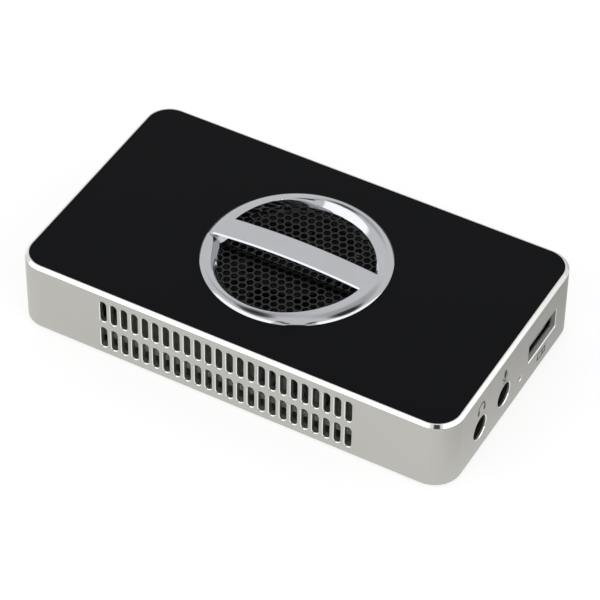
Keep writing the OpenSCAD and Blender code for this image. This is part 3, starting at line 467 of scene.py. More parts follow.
def satin_black_panel(name):
    """Deep, even black with a soft sheen and hardly any reflection."""
    looks = looks_of()
    return grained(name, looks.panel, "#0a0b0c", 0.6 * MM, (0.3, 0.36), 0.001 * MM,
                   {"Specular IOR Level": 0.06})


def bright_chrome(name):
    """Smooth plated mirror, a little darker than the bare aluminium edge."""
    looks = looks_of()
    return grained(name, looks.chrome, "#c4c6ca", 4.0 * MM, (0.05, 0.08), 0.002 * MM,
                   {"Metallic": 1.0})


def black_painted_steel(name):
    """Powder paint on the grille: dark, with a dull shine along the webs."""
    looks = looks_of()
    return grained(name, looks.mesh, "#121213", 0.2 * MM, (0.4, 0.55), 0.004 * MM, {})


def black_nylon(name):
    """Moulded black plastic of sockets and fan, slightly uneven in gloss."""
    return grained(name, "#171718", "#101011", 0.5 * MM, (0.38, 0.55), 0.004 * MM, {})


def black_plastic_and_painted_shade(name):
    """Glass-filled black plastic of the fan, drawn darker than the other black plastics as painted
    shade, and dull, so that it stays black behind the grille.
    """
    return grained(name, "#0b0b0c", "#070708", 0.3 * MM, (0.55, 0.7), 0.004 * MM,
                   {"Specular IOR Level": 0.25})


def frame_plastic_painted_light(name):
    """Moulding of the fan's frame, drawn a lighter grey than it is, as painted light that fills the
    interior; dull behind the vents.
    """
    return grained(name, "#484a48", "#3b3d3b", 0.3 * MM, (0.6, 0.75), 0.004 * MM,
                   {"Specular IOR Level": 0.25})


def nickel_plated_steel(name):
    """Rolled and plated sheet of the socket shells, softly mirroring."""
    return grained(name, "#c6c7c8", "#b2b3b4", 0.6 * MM, (0.18, 0.3), 0.001 * MM, {"Metallic": 1.0})


def blackened_steel(name):
    """Oxide-black screws with a dull metal shine."""
    return grained(name, "#4d4e50", "#37383a", 0.3 * MM, (0.3, 0.42), 0.002 * MM, {"Metallic": 1.0})


def gold_plated_contacts(name):
    """Warm yellow contact strips."""
    return grained(name, "#e0b968", "#cda351", 0.3 * MM, (0.2, 0.3), 0.001 * MM, {"Metallic": 1.0})


def clear_acrylic(name):
    """Light pipe of clear acrylic with a milky core that shows white from outside."""
    return grained(name, "#f7f9f8", "#eef1f0", 0.8 * MM, (0.08, 0.14), 0.0005 * MM,
                   {"Transmission Weight": 0.35, "IOR": 1.49})


def foot_rubber(name):
    """Dull, dry black rubber."""
    return grained(name, "#1d1d1e", "#151516", 0.25 * MM, (0.75, 0.9), 0.01 * MM,
                   {"Specular IOR Level": 0.3})


def turned_brass(name):
    """Yellow brass of the standoffs."""
    return grained(name, "#c2a05f", "#a98748", 0.4 * MM, (0.25, 0.38), 0.001 * MM,
                   {"Metallic": 1.0})


def chip_epoxy(name):
    """Matt moulding of the chips, drawn a lighter charcoal grey than it is, as painted light that
    fills the interior seen through the vents.
    """
    return grained(name, "#4a4b4b", "#3c3d3d", 0.12 * MM, (0.55, 0.7), 0.004 * MM, {})


def thermal_silicone(name):
    """Soft pale-blue pad."""
    return grained(name, "#9fb0c0", "#8b9dae", 0.3 * MM, (0.7, 0.85), 0.01 * MM, {})


def black_anodised_aluminium(name):
    """Heat sink: black metal with a satin shine."""
    return grained(name, "#58595b", "#48494b", 0.25 * MM, (0.4, 0.52), 0.002 * MM,
                   {"Metallic": 0.4})


def aluminium_can(name):
    """Bare drawn aluminium of the capacitors."""
    return grained(name, "#808183", "#6e6f71", 0.5 * MM, (0.5, 0.6), 0.001 * MM, {"Metallic": 1.0})


def ferrite(name):
    """Grey-brown sintered inductors."""
    return grained(name, "#3b3836", "#2b2927", 0.15 * MM, (0.7, 0.85), 0.008 * MM, {})


def white_nylon(name):
    """Milky plastic of the fan's plug."""
    return grained(name, "#e8e5dc", "#dbd8ce", 0.6 * MM, (0.4, 0.55), 0.003 * MM, {})


def wire_insulation(name):
    """Smooth black insulation with a low gloss."""
    return grained(name, "#1c1b1b", "#121212", 0.5 * MM, (0.35, 0.5), 0.003 * MM, {})


def acrylic_adhesive(name):
    """Dull grey film between the panel and the deck."""
    return grained(name, "#8f8c84", "#7c7972", 0.4 * MM, (0.55, 0.7), 0.004 * MM, {})


def layered(name, light, dark, pitch, direction, rough, metallic):
    """A finish with fine bands of a real pitch along one axis."""
    made, tree, shader, place = start_finish(name)
    bands = add_node(tree, "ShaderNodeTexWave", {
        "Vector": place, "Scale": 2 * math.pi / (20 * pitch), "Distortion": 0.0},
        bands_direction=direction).outputs["Fac"]
    tone = add_node(tree, "ShaderNodeMix", {0: bands, 6: rgba(dark), 7: rgba(light)},
                    data_type="RGBA")
    bump = add_node(tree, "ShaderNodeBump", {
        "Height": bands, "Strength": 0.6, "Distance": pitch / 4})
    feed(tree, shader, {
        "Base Color": tone.outputs[2], "Roughness": rough, "Metallic": metallic,
        "Normal": bump.outputs["Normal"]})
    return made


def silicon_steel_stack(name):
    """Stamped sheets of the stator, seen as fine layers."""
    return layered(name, "#8d8f92", "#5d5f62", 0.35 * MM, "Z", 0.4, 1.0)


def enamelled_copper(name):
    """Windings: red-brown wire, turn by turn."""
    return layered(name, "#b5653a", "#6d3018", 0.25 * MM, "Z", 0.3, 0.9)


def solder_mask_and_painted_light(name):
    """Board: glossy green lacquer with lighter copper traces beneath and small bright pads; its
    tone is drawn much paler than solder mask, as painted light that fills the interior seen through
    the vents.
    """
    looks = looks_of()
    made, tree, shader, place = start_finish(name)
    traces = add_node(tree, "ShaderNodeTexBrick", {
        "Vector": place, "Scale": 1 / (2.4 * MM), "Mortar Size": 0.05, "Brick Width": 2.6,
        "Row Height": 0.4, "Color1": (0, 0, 0, 1), "Color2": (0, 0, 0, 1),
        "Mortar": (1, 1, 1, 1)}).outputs["Color"]
    pads = add_node(tree, "ShaderNodeTexVoronoi", {"Vector": place, "Scale": 1 / (1.6 * MM)},
                    voronoi_dimensions="2D").outputs["Distance"]
    pad_mask = add_node(tree, "ShaderNodeMath", {0: pads, 1: 0.09}, operation="LESS_THAN")
    # The board tone from the settings is painted light, paler than the real solder mask.
    mask = add_node(tree, "ShaderNodeMix", {0: traces, 6: rgba(looks.board), 7: rgba("#b0bfb2")},
                    data_type="RGBA")
    tone = add_node(tree, "ShaderNodeMix", {
        0: pad_mask.outputs["Value"], 6: mask.outputs[2], 7: rgba("#b9b8a8")}, data_type="RGBA")
    bump = add_node(tree, "ShaderNodeBump", {
        "Height": traces, "Strength": 0.5, "Distance": 0.03 * MM})
    feed(tree, shader, {
        "Base Color": tone.outputs[2], "Roughness": 0.32, "Normal": bump.outputs["Normal"]})
    return made


FINISH_OF = {
    "adhesive": acrylic_adhesive, "anodised_aluminium": blasted_anodised_aluminium,
    "black_panel": satin_black_panel, "chrome_trim": bright_chrome,
    "black_grille": black_painted_steel, "screw_steel": blackened_steel,
    "bright_steel": nickel_plated_steel, "foot_rubber": foot_rubber,
    "green_laminate": solder_mask_and_painted_light, "brass": turned_brass, "black_nylon": black_nylon,
    "gold_contacts": gold_plated_contacts, "clear_acrylic": clear_acrylic,
    "chip_epoxy": chip_epoxy, "thermal_silicone": thermal_silicone,
    "black_aluminium": black_anodised_aluminium, "can_aluminium": aluminium_can,
    "silicon_steel": silicon_steel_stack, "copper_wire": enamelled_copper,
    "ferrite": ferrite, "white_nylon": white_nylon, "wire_insulation": wire_insulation}

# Roundings of the CAD pieces that show outside: width in mm and segments.
SOFTENED = {
    "usb_shell": (0.08, 2), "usb_insulator": (0.1, 2), "hdmi_in_shell": (0.08, 2),
    "hdmi_in_insulator": (0.1, 2), "hdmi_out_shell": (0.08, 2), "hdmi_out_insulator": (0.1, 2),
    "light_pipe": (0.25, 3), "rubber_feet": (0.4, 4), "cover_screws": (0.12, 2),
    "bottom_cover": (0.15, 2)}


# Pieces

def sign_cutters(bm, s):
    """Headphones, a microphone and a plug, cut just into the end wall."""
    top, low = OVERLAP, -s.mark

    def bar(at, width, height, radius=0.0):
        prism(bm, at, [(depth, width, height, radius, MARK) for depth in (top, low)], steps=6)

    def arc(at, radius, line, start, angle):
        grid = bmesh.ops.create_grid(bm, x_segments=1, y_segments=1, size=0.5)["verts"]
        stand = (Matrix.Rotation(start, 4, "Z") @ Matrix.Translation((radius, 0, (top + low) / 2))
                 @ Matrix.Rotation(math.pi / 2, 4, "X"))
        face = grid[0].link_faces[0]
        bmesh.ops.scale(bm, vec=(line, top - low, 1), verts=grid)
        bmesh.ops.transform(bm, matrix=at @ stand, verts=grid)
        axis = at.to_3x3() @ Vector((0, 0, 1))
        known = set(bm.faces)
        bmesh.ops.spin(
            bm, geom=grid + list(face.edges) + [face], cent=at.translation, axis=axis,
            angle=angle, steps=18)
        for made in [f for f in bm.faces if f not in known] + [face]:
            if made.is_valid:
                made.material_index = MARK

    end = BODY_HIGH.x
    headphone, mic = [(span(name)[0].y + span(name)[1].y) / 2 for name in JACKS]

    cups = on_wall(math.pi / 2, headphone + 0.2 * MM, SIGN_HEIGHT, end)
    arc(cups, 1.55 * MM, 0.42 * MM, 0.0, math.pi)
    for side in (-1, 1):
        spot = cups @ Matrix.Translation((side * 1.45 * MM, -0.72 * MM, 0))
        bar(spot, 0.9 * MM, 1.4 * MM, 0.3 * MM)

    stand = on_wall(math.pi / 2, mic, SIGN_HEIGHT, end)
    bar(stand @ Matrix.Translation((0, 0.55 * MM, 0)), 1.3 * MM, 2.5 * MM, 0.6 * MM)
    arc(stand, 1.25 * MM, 0.3 * MM, math.pi, math.pi)
    bar(stand @ Matrix.Translation((0, -1.66 * MM, 0)), 0.3 * MM, 0.46 * MM)
    bar(stand @ Matrix.Translation((0, -2.08 * MM, 0)), 1.7 * MM, 0.3 * MM)

    plug = on_wall(math.pi / 2, (USB_LOW.y + USB_HIGH.y) / 2, PLUG_SIGN_HEIGHT, end)
    for side in (-1, 1):
        bar(plug @ Matrix.Translation((0, side * 0.85 * MM, 0)), 4.4 * MM, 0.38 * MM)
        bar(plug @ Matrix.Translation((side * 2.01 * MM, 0, 0)), 0.38 * MM, 1.3 * MM)
        bar(plug @ Matrix.Translation((0.7 * MM, side * 0.36 * MM, 0)), 0.9 * MM, 0.36 * MM)


def hole(bm, at, wall, width, height, radius, lip, steps=8, mouth=WALL, inner=WALL, reach=0.45):
    """A cutter for an opening with a chamfer, through a wall.

    Its inner face can have one finish for some mm behind the mouth and another one deeper in; in
    the jacks' holes the deeper one is painted shade.
    """
    flare = 2 * (lip + OVERLAP)
    tall = height + flare if height else 0.0
    prism(bm, at, [
        (OVERLAP, width + flare, tall, radius + flare / 2 if radius else 0.0, EDGE),
        (-lip, width, height, radius, EDGE),
        (-lip - reach * MM, width, height, radius, mouth),
        (-wall - 0.4 * MM, width, height, radius, inner)], steps)


class CAPTUREBOX_OT_housing(bpy.types.Operator):
    """Milled aluminium shell with vent slots, port openings and marked signs"""

    bl_idname = "capture_box.housing"
    bl_label = "Housing"

    def execute(self, context):
        s = context.scene.capture_box.housing
        t = context.scene.capture_box.trim
        p = context.scene.capture_box.ports
        looks = [shared(finish) for finish in (
            blasted_anodised_aluminium, diamond_cut_aluminium, laser_mark, painted_shade_bore,
            milled_aluminium)]
        along, across = BODY_HIGH.x - BODY_LOW.x, BODY_HIGH.y - BODY_LOW.y
        floor, top = BODY_LOW.z, BODY_HIGH.z

        def plate(depth, inset, look=WALL):
            return (depth, along - 2 * inset, across - 2 * inset, s.corner - inset, look)

        shell = bmesh.new()
        prism(shell, Matrix(), [
            plate(floor, s.sole), plate(floor + s.sole, 0.0), plate(top - s.chamfer, 0.0),
            plate(top, s.chamfer, EDGE)], steps=20)
        edge = s.chamfer + s.rim
        seat = GRILLE_HIGH.x + t.seat_gap
        for sections in (
                [plate(floor - MM, s.wall), plate(DECK_LOW, s.wall)],
                [plate(SEAT, edge), plate(top + MM, edge)],
                [disc(GRILLE_LOW.z, seat), disc(top, seat)],
                [disc(DECK_LOW - MM, t.foot), disc(top, t.foot)]):
            tool = bmesh.new()
            prism(tool, Matrix(), sections, steps=20)
            shell = carve(shell, tool, looks)
        bosses = bmesh.new()
        holes = bmesh.new()
        for x, y in corners(SCREWS_LOW, SCREWS_HIGH, SCREW_INSET):
            spot = Matrix.Translation((x, y, 0))
            prism(bosses, spot, [disc(COVER_TOP, s.boss), disc(DECK_LOW + 0.6 * MM, s.boss)])
            prism(holes, spot, [
                disc(floor, SCREW_HOLE), disc(SCREWS_HIGH.z + 0.3 * MM, SCREW_HOLE)])
        shell = carve(shell, bosses, looks, "UNION")

        slot = bmesh.new()
        hole(slot, on_wall(0.0, 0.0, 0.0, BODY_HIGH.y), s.wall, s.vent_width, s.vent_height,
             0.499 * s.vent_width, s.vent_break, steps=7)
        first = everything(slot)
        rows = [top - s.vent_drop, top - s.vent_drop - s.vent_rows]
        middle = (VENTS_IN_ROW - 1) / 2
        repeat(slot, first, [
            (s.vent_shift + (n - middle) * s.vent_pitch, 0, z)
            for z in rows for n in range(VENTS_IN_ROW)])
        bmesh.ops.delete(slot, geom=first, context="VERTS")
        bmesh.ops.mirror(slot, geom=everything(slot), axis="Y", merge_dist=0)
        shell = carve(shell, slot, looks)

        for name in JACKS:
            low, high = span(name)
            spot = on_wall(math.pi / 2, (low.y + high.y) / 2, low.z + p.jack_rise, BODY_HIGH.x)
            # Beyond its first 0.45 mm, each jack hole's bore is painted shade.
            hole(holes, spot, s.wall, 2 * s.jack_hole, 0.0, 0.0, 0.8 * s.port_break, steps=14,
                 inner=PAINTED_SHADE_BORE)
        spot = on_wall(math.pi / 2, (PIPE_LOW.y + PIPE_HIGH.y) / 2,
                       PIPE_HIGH.z - s.lamp_hole + 0.05 * MM, BODY_HIGH.x)
        hole(holes, spot, s.wall, 2 * s.lamp_hole, 0.0, 0.0, 0.12 * MM, steps=10, mouth=CUT,
             inner=CUT)
        spot = on_wall(math.pi / 2, (USB_LOW.y + USB_HIGH.y) / 2, USB_HIGH.z - p.usb_height / 2,
                       BODY_HIGH.x)
        hole(holes, spot, s.wall, s.usb_width, s.usb_height, 0.3 * MM, 0.7 * s.port_break, steps=4,
             mouth=CUT, reach=1.0)
        for name in HDMI:
            low, high = span(name + "_shell")
            spot = on_wall(-math.pi / 2, -(low.y + high.y) / 2, (low.z + high.z) / 2, -BODY_LOW.x)
            hole(holes, spot, s.wall, s.hdmi_width, s.hdmi_height, 0.4 * MM, 0.7 * s.port_break,
                 steps=4, mouth=CUT, reach=1.0)
        sign_cutters(holes, s)
        shell = carve(shell, holes, looks)
        even_normals(piece("housing_body", shell, looks, ["housing"]))
        return {"FINISHED"}


class CAPTUREBOX_OT_top_panel(bpy.types.Operator):
    """Black panel let into the top"""

    bl_idname = "capture_box.top_panel"
    bl_label = "Top panel"

    def execute(self, context):
        s = context.scene.capture_box.housing
        t = context.scene.capture_box.trim
        looks = [shared(satin_black_panel)]
        along, across = PANEL_HIGH.x - PANEL_LOW.x, PANEL_HIGH.y - PANEL_LOW.y
        radius = s.corner - s.chamfer - s.rim - t.seat_gap
        soft = PANEL_SOFT
        plate = bmesh.new()
        prism(plate, Matrix(), [
            (PANEL_LOW.z, along, across, radius, 0),
            (PANEL_HIGH.z - soft, along, across, radius, 0),
            (PANEL_HIGH.z, along - 2 * soft, across - 2 * soft, radius - soft, 0)], steps=20)
        tool = bmesh.new()
        seat = GRILLE_HIGH.x + t.seat_gap
        prism(tool, Matrix(), [disc(PANEL_LOW.z - MM, seat), disc(PANEL_HIGH.z + MM, seat)],
              steps=24)
        plate = carve(plate, tool, looks)
        even_normals(piece("panel_plate", plate, looks, ["top_panel"]))
        return {"FINISHED"}


class CAPTUREBOX_OT_trim_ring(bpy.types.Operator):
    """Domed chrome ring with a bar across its opening"""

    bl_idname = "capture_box.trim_ring"
    bl_label = "Trim ring"

    def execute(self, context):
        t = context.scene.capture_box.trim
        looks = [shared(bright_chrome)]
        face, crown, outer = PANEL_HIGH.z, RING_HIGH.z, RING_HIGH.x
        skirt, bore = GRILLE_HIGH.x, t.foot + t.foot_step
        top, half = crown - t.rise, t.bar / 2

        dome = (skirt ** 2 + t.rise ** 2) / (2 * t.rise)
        start = math.asin(skirt / dome)
        wide, fall = outer - skirt, top - face - t.edge
        brow = (wide ** 2 + fall ** 2) / (2 * (fall * math.cos(start) - wide * math.sin(start)))
        middle = Vector((skirt, top)) - brow * Vector((math.sin(start), math.cos(start)))

        def roof(away):
            """Height of the domed top at a distance from the axis."""
            if away < skirt:
                return crown - dome + math.sqrt(dome ** 2 - away ** 2)
            return middle.y + math.sqrt(brow ** 2 - (min(away, outer) - middle.x) ** 2)

        section = [
            (0.0, face - t.bar_sink), (bore, face - t.bar_sink), (bore, GRILLE_HIGH.z),
            (skirt, GRILLE_HIGH.z), (skirt, face), (outer, face)]
        loops = [outer - (outer - t.foot) * n / BROW_LOOPS for n in range(BROW_LOOPS)]
        loops += [t.foot * (1 - n / DOME_LOOPS) for n in range(DOME_LOOPS + 1)]
        section += [(away, roof(away)) for away in loops]

        cap = bmesh.new()
        points = [cap.verts.new((r, 0, z)) for r, z in section]
        lines = [cap.edges.new(pair) for pair in zip(points, points[1:])]
        bmesh.ops.spin(
            cap, geom=points + lines, cent=(0, 0, 0), axis=(0, 0, 1), angle=2 * math.pi,
            steps=RING_STEPS, use_merge=True)

        height = t.foot_depth + top - face
        slant = Matrix.Translation((0, 0, face - t.foot_depth))
        slant[0][2] = t.shift / height

        def cone():
            """The slanting cone of a window, from below the grille to above the dome."""
            made = bmesh.new()
            prism(made, slant, [
                disc(share * height, t.foot + share * t.spread)
                for share in (-0.5, 0, *[n / 20 for n in range(1, 27)], 2)], steps=60)
            return made

        def slope(x, y):
            """Height of the slanting cone over a point of the far window's side."""
            run = x * t.shift + t.foot * t.spread
            rest = x ** 2 + y ** 2 - t.foot ** 2
            root = math.sqrt(max(run ** 2 - (t.shift ** 2 - t.spread ** 2) * rest, 0.0))
            return face - t.foot_depth + height * rest / max(run + root, WELD ** 2)

        def both_sides(bm):
            """Adds the same cutter, turned half round, for the other window."""
            copy = bmesh.ops.duplicate(bm, geom=everything(bm))["geom"]
            bmesh.ops.rotate(
                bm, cent=(0, 0, 0), matrix=Matrix.Rotation(math.pi, 3, "Z"),
                verts=[v for v in copy if isinstance(v, bmesh.types.BMVert)])

        window = cone()
        bmesh.ops.bisect_plane(
            window, geom=everything(window), dist=WELD, plane_co=(0, half, 0), plane_no=(0, 1, 0),
            clear_inner=True)
        bmesh.ops.holes_fill(window, edges=[e for e in window.edges if e.is_boundary], sides=0)
        both_sides(window)
        cap = carve(cap, window, looks)

        leg = t.bar_break
        bevel = bmesh.new()
        points = [bevel.verts.new((0, half + y * leg, crown + z * leg))
                  for y, z in ((1, -2), (-2, 1), (1, 1))]
        wedge = bevel.faces.new(points)
        hub, reach = (0, 0, crown - dome), 1.2 * start
        bmesh.ops.rotate(bevel, cent=hub, matrix=Matrix.Rotation(-reach, 3, "Y"), verts=points)
        bmesh.ops.spin(
            bevel, geom=points + list(wedge.edges) + [wedge], cent=hub, axis=(0, 1, 0),
            angle=2 * reach, steps=72)
        bevel = carve(bevel, cone(), looks, "INTERSECT")
        both_sides(bevel)
        cap = carve(cap, bevel, looks)
        bmesh.ops.dissolve_degenerate(cap, dist=0.01 * MM, edges=cap.edges)
        for side in (-half - BAR_STRIP, -half, half, half + BAR_STRIP):
            bmesh.ops.bisect_plane(
                cap, geom=everything(cap), dist=WELD, plane_co=(0, side, 0), plane_no=(0, 1, 0))
        # Each window's slope runs smoothly into the ring's top, less where the slope is steep.
        for point in cap.verts:
            x, y, z = point.co
            away = math.hypot(x, y)
            if abs(y) < half + BAR_STRIP / 2 or not t.foot - 0.02 * MM < away < outer:
                continue
            x, y = math.copysign(1, y) * x, abs(y)
            above, beside = roof(away), slope(x, y)
            run = (t.spread + t.shift * x / away) / height
            blend = t.blend * min(max((run - STEEP) / (GENTLE - STEEP), 0.0), 1.0)
            if blend > WELD and abs(z - min(above, beside)) < ON_SURFACE:
                near = max(blend - abs(above - beside), 0.0)
                point.co.z = min(above, beside) - near ** 2 / (4 * blend)
        made = piece("trim_ring_chrome", cap, looks, ["trim_ring"])
        soften(made, t.round, 3, angle=50)
        return {"FINISHED"}


class CAPTUREBOX_OT_grille(bpy.types.Operator):
    """Steel disc pierced with a honeycomb of holes"""

    bl_idname = "capture_box.grille"
    bl_label = "Grille"

    def execute(self, context):
        t = context.scene.capture_box.trim
        reach = GRILLE_HIGH.x
        thick = GRILLE_HIGH.z - GRILLE_LOW.z
        row = t.pitch * math.sqrt(3) / 2
        pierced = reach - t.border - (t.pitch - t.web) / math.sqrt(3)
        bm = bmesh.new()
        cell = bmesh.ops.create_circle(
            bm, cap_ends=True, radius=t.pitch / math.sqrt(3), segments=6)["verts"]
        bmesh.ops.translate(bm, vec=(0, 0, GRILLE_HIGH.z), verts=cell)
        full = everything(bm)
        plain, open_spots = [], []
        count = math.ceil((reach + t.pitch) / row)
        for j in range(-count, count + 1):
            for i in range(-count, count + 1):
                spot = Vector(((i + (j % 2) / 2) * t.pitch, j * row, 0))
                if spot.length < pierced:
                    open_spots.append(spot)
                elif spot.length < reach + t.pitch:
                    plain.append(spot)
        repeat(bm, full, plain)
        bmesh.ops.inset_individual(bm, faces=[cell[0].link_faces[0]], thickness=t.web / 2)
        middle = [f for f in bm.faces
                  if len(f.verts) == 6 and f.calc_center_median().xy.length < WELD]
        bmesh.ops.delete(bm, geom=middle, context="FACES_ONLY")
        web = [f for f in bm.faces if len(f.verts) == 4]
        parts = list({e for f in web for e in [*f.verts, *f.edges]}) + web
        repeat(bm, parts, [spot for spot in open_spots if spot.length > WELD])
        bmesh.ops.remove_doubles(bm, verts=bm.verts, dist=0.01 * MM)
        for n in range(GRILLE_SIDES):
            angle = 2 * math.pi * n / GRILLE_SIDES
            way = Vector((math.cos(angle), math.sin(angle), 0))
            bmesh.ops.bisect_plane(
                bm, geom=everything(bm), dist=WELD, plane_co=way * reach, plane_no=way,
                clear_outer=True)
        made = piece("grille_mesh", bm, [shared(black_painted_steel)], ["grille"])
        if made.data.polygons[0].normal.z < 0:
            made.data.flip_normals()
        plate = made.modifiers.new("thickness", "SOLIDIFY")
        plate.thickness = thick
        plate.offset = -1.0
        soften(made, t.soft, 2)
        return {"FINISHED"}


class CAPTUREBOX_OT_jacks(bpy.types.Operator):
    """Two moulded 3.5 mm jacks"""

    bl_idname = "capture_box.jacks"
    bl_label = "Jacks"

    def execute(self, context):
        p = context.scene.capture_box.ports
        looks = [shared(black_nylon)]
        for name in JACKS:
            low, high = span(name)
            axis = low.z + p.jack_rise
            turn = Matrix.Rotation(math.pi / 2, 4, "Y")
            spot = Matrix.Translation((high.x, (low.y + high.y) / 2, axis)) @ turn
            block = bmesh.new()
            tall, wide = high.z - low.z, high.y - low.y
            middle = spot @ Matrix.Translation((axis - (low.z + high.z) / 2, 0, 0))
            deep, soft = high.x - low.x, JACK_SOFT
            prism(block, middle, [
                (-p.nose_length, tall - 2 * soft, wide - 2 * soft, soft, 0),
                (-p.nose_length - soft, tall, wide, 2 * soft, 0),
                (-deep, tall, wide, 2 * soft, 0)], steps=3)
            nose = bmesh.new()
            prism(nose, spot, [
                disc(0.0, p.nose - 2 * soft), disc(-0.3 * soft, p.nose - soft),
                disc(-soft, p.nose - 0.3 * soft), disc(-2 * soft, p.nose),
                disc(-p.nose_length - 0.3 * MM, p.nose)], steps=12)
            block = carve(block, nose, looks, "UNION")
            bore = bmesh.new()
            prism(bore, spot, [
                disc(0.1 * MM, p.bore + 0.45 * MM), disc(-0.35 * MM, p.bore),
                disc(-p.bore_depth, p.bore)], steps=12)
            block = carve(block, bore, looks)
            piece(name + "_moulding", block, looks, [name])
        return {"FINISHED"}


class CAPTUREBOX_OT_softened(bpy.types.Operator):
    """Sockets, light pipe and underside with the small roundings of real parts"""

    bl_idname = "capture_box.softened"
    bl_label = "Softened pieces"

    def execute(self, context):
        for name, (width, segments) in SOFTENED.items():
            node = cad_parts[name]
            slot = node.material_slots[0].material.name.split(".")[0]
            bm = bmesh.new()
            bm.from_mesh(node.data)
            bmesh.ops.transform(bm, matrix=node.matrix_world, verts=bm.verts)
            bmesh.ops.remove_doubles(bm, verts=bm.verts, dist=WELD)
            bmesh.ops.dissolve_limit(
                bm, angle_limit=math.radians(1), verts=bm.verts, edges=bm.edges, delimit={"NORMAL"})
            made = piece(name + "_softened", bm, [shared(FINISH_OF[slot])], [name])
            soften(made, width * MM, segments)
            even_normals(made)
        return {"FINISHED"}


class CAPTUREBOX_OT_finishes(bpy.types.Operator):
    """Finishes of the CAD pieces that show as they are"""

    bl_idname = "capture_box.finishes"
    bl_label = "Finishes"

    def execute(self, context):
        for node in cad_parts.values():
            for place in node.material_slots:
                place.material = shared(FINISH_OF[place.material.name.split(".")[0]])
        # The fan frame's grey is painted light inside the vents; the impeller's deep black is
        # partly painted shade under the grille.
        for name, finish in (("fan_frame", frame_plastic_painted_light), ("fan_impeller", black_plastic_and_painted_shade)):
            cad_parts[name].material_slots[0].material = shared(finish)
        return {"FINISHED"}


# Stage

def studio_floor(name):
    """Pale floor that shows white, darker under the object and, in mirrors, off to the right."""
    looks = looks_of()
    made = bpy.data.materials.new(name)
    made.use_nodes = True
    tree = made.node_tree
    tree.nodes.clear()
    path = add_node(tree, "ShaderNodeLightPath").outputs
    place = add_node(tree, "ShaderNodeTexCoord").outputs["Object"]
    along = add_node(tree, "ShaderNodeVectorMath", {0: place, 1: FADE_WAY},
                     operation="DOT_PRODUCT")
    mirrored = add_node(tree, "ShaderNodeMapRange", {
        "Value": along.outputs["Value"], "From Min": FADE_START, "From Max": FADE_END,
        "To Min": 1.0, "To Max": FADE_LEFT}, interpolation_type="SMOOTHSTEP")
    mirrored = add_node(tree, "ShaderNodeMath", {
        0: path["Is Glossy Ray"], 1: mirrored.outputs["Result"]}, operation="MULTIPLY")
    seen = add_node(tree, "ShaderNodeMath", {
        0: path["Is Camera Ray"], 1: path["Is Transmission Ray"]}, operation="MAXIMUM")
    seen = add_node(tree, "ShaderNodeMath", {
        0: seen.outputs["Value"], 1: mirrored.outputs["Value"]}, operation="MAXIMUM")
    glow = add_node(tree, "ShaderNodeMath", {0: seen.outputs["Value"], 1: 0.94},
                    operation="MULTIPLY")
    shine = add_node(tree, "ShaderNodeEmission", {
        "Color": rgba(looks.floor), "Strength": glow.outputs["Value"]})
    matt = add_node(tree, "ShaderNodeBsdfDiffuse", {"Color": rgba("#a8a8a8")})
    both = add_node(tree, "ShaderNodeAddShader", {0: shine.outputs[0], 1: matt.outputs[0]})
    add_node(tree, "ShaderNodeOutputMaterial", {"Surface": both.outputs[0]})
    return made


def white_tent(world, looks):
    """Even light all round, a wide softbox on each side of the camera, and dark gaps."""
    world.use_nodes = True
    tree = world.node_tree
    tree.nodes.clear()
    way = add_node(tree, "ShaderNodeTexCoord").outputs["Generated"]

    def towards(azimuth, height):
        """The direction at an azimuth and a height in degrees."""
        azimuth, height = math.radians(azimuth), math.radians(height)
        return Vector((math.cos(azimuth) * math.cos(height), math.sin(azimuth) * math.cos(height),
                       math.sin(height)))

    def patch(centre, inner, outer):
        """1 within an angle of a direction, 0 beyond a wider one."""
        near = add_node(tree, "ShaderNodeVectorMath", {0: way, 1: centre}, operation="DOT_PRODUCT")
        return add_node(tree, "ShaderNodeMapRange", {
            "Value": near.outputs["Value"], "From Min": math.cos(math.radians(outer)),
            "From Max": math.cos(math.radians(inner))},
            interpolation_type="SMOOTHSTEP").outputs["Result"]

    bright = looks.world
    top_fade, near_fade, far_fade = SOFTBOX_FADES
    for azimuth, height, near, far in SOFTBOXES:
        inside = patch(towards(azimuth, height - QUARTER), top_fade, QUARTER)
        side = math.copysign(QUARTER, far - near)
        for end, fade in ((near + side, near_fade), (far - side, far_fade)):
            inside = add_node(tree, "ShaderNodeMath", {
                0: inside, 1: patch(towards(end, 0), fade, QUARTER)},
                operation="MULTIPLY").outputs["Value"]
        bright = add_node(tree, "ShaderNodeMix", {
            0: inside, 2: bright, 3: looks.softbox}).outputs[0]
    for azimuth, height, inner, outer, share in GAPS:
        dark = add_node(tree, "ShaderNodeMath", {
            0: patch(towards(azimuth, height), inner, outer), 1: share}, operation="MULTIPLY")
        bright = add_node(tree, "ShaderNodeMix", {
            0: dark.outputs["Value"], 2: bright, 3: 0.0}).outputs[0]
    path = add_node(tree, "ShaderNodeLightPath").outputs
    seen = add_node(tree, "ShaderNodeMath", {
        0: path["Is Camera Ray"], 1: path["Is Transmission Ray"]}, operation="MAXIMUM")
    strength = add_node(tree, "ShaderNodeMix", {0: seen.outputs["Value"], 2: bright, 3: 1.0})
    back = add_node(tree, "ShaderNodeBackground", {
        "Color": (1, 1, 1, 1), "Strength": strength.outputs[0]})
    add_node(tree, "ShaderNodeOutputWorld", {"Surface": back.outputs[0]})


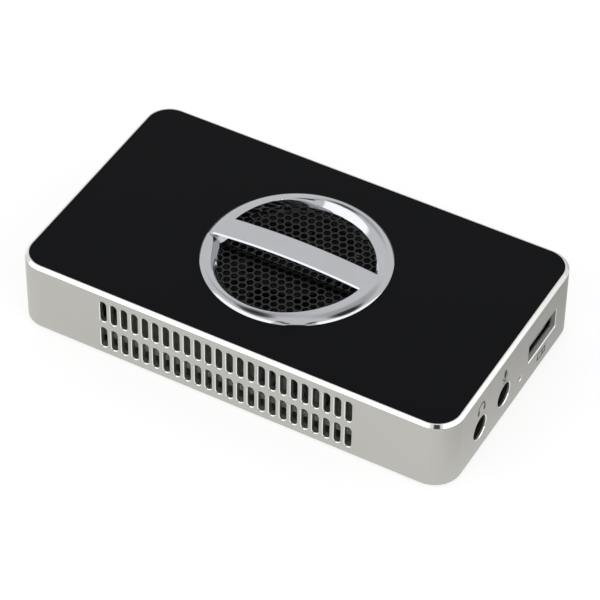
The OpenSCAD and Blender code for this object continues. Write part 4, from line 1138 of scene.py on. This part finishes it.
class CAPTUREBOX_OT_stage(bpy.types.Operator):
    """Floor, light and camera of the photo"""

    bl_idname = "capture_box.stage"
    bl_label = "Stage"

    def execute(self, context):
        scene = context.scene
        bm = bmesh.new()
        bmesh.ops.create_grid(bm, x_segments=1, y_segments=1, size=3.0)
        mesh = bpy.data.meshes.new("studio_floor")
        bm.to_mesh(mesh)
        bm.free()
        mesh.materials.append(shared(studio_floor))
        floor = bpy.data.objects.new("studio_floor", mesh)
        scene.collection.objects.link(floor)

        scene.world = bpy.data.worlds.new("white_tent")
        white_tent(scene.world, looks_of())

        lens = bpy.data.cameras.new("photo_camera")
        lens.sensor_width = CAMERA_SENSOR
        lens.lens = CAMERA_LENS
        lens.clip_end = 20.0
        camera = bpy.data.objects.new("photo_camera", lens)
        azimuth, elevation, roll = [math.radians(angle) for angle in CAMERA_TURN]
        camera.matrix_world = (
            Matrix.Translation(CAMERA_PLACE) @ Matrix.Rotation(azimuth, 4, "Z")
            @ Matrix.Rotation(math.pi / 2 - elevation, 4, "X") @ Matrix.Rotation(roll, 4, "Z"))
        scene.collection.objects.link(camera)
        scene.camera = camera
        scene.view_settings.view_transform = "Standard"
        return {"FINISHED"}


class CAPTUREBOX_PT_pieces(bpy.types.Panel):
    """Lists the steps in the order in which they are run"""

    bl_label = "Capture box"
    bl_idname = "CAPTUREBOX_PT_pieces"
    bl_space_type = "VIEW_3D"
    bl_region_type = "UI"
    bl_category = "Capture box"

    def draw(self, context):
        for operator in OPERATORS:
            self.layout.operator(operator.bl_idname)


OPERATORS = (
    CAPTUREBOX_OT_housing,
    CAPTUREBOX_OT_top_panel,
    CAPTUREBOX_OT_trim_ring,
    CAPTUREBOX_OT_grille,
    CAPTUREBOX_OT_jacks,
    CAPTUREBOX_OT_softened,
    CAPTUREBOX_OT_finishes,
    CAPTUREBOX_OT_stage,
)
CLASSES = (
    CaptureBoxHousing, CaptureBoxTrim, CaptureBoxPorts, CaptureBoxLooks, CaptureBoxSettings,
    *OPERATORS, CAPTUREBOX_PT_pieces)


def register():
    for item in CLASSES:
        bpy.utils.register_class(item)
    bpy.types.Scene.capture_box = PointerProperty(type=CaptureBoxSettings)


def unregister():
    del bpy.types.Scene.capture_box
    for item in reversed(CLASSES):
        bpy.utils.unregister_class(item)


def main():
    """Makes every piece and the stage."""
    register()
    for operator in OPERATORS:
        getattr(bpy.ops.capture_box, operator.bl_idname.split(".")[1])()
    bpy.context.view_layer.update()


if __name__ == "__main__":
    main()
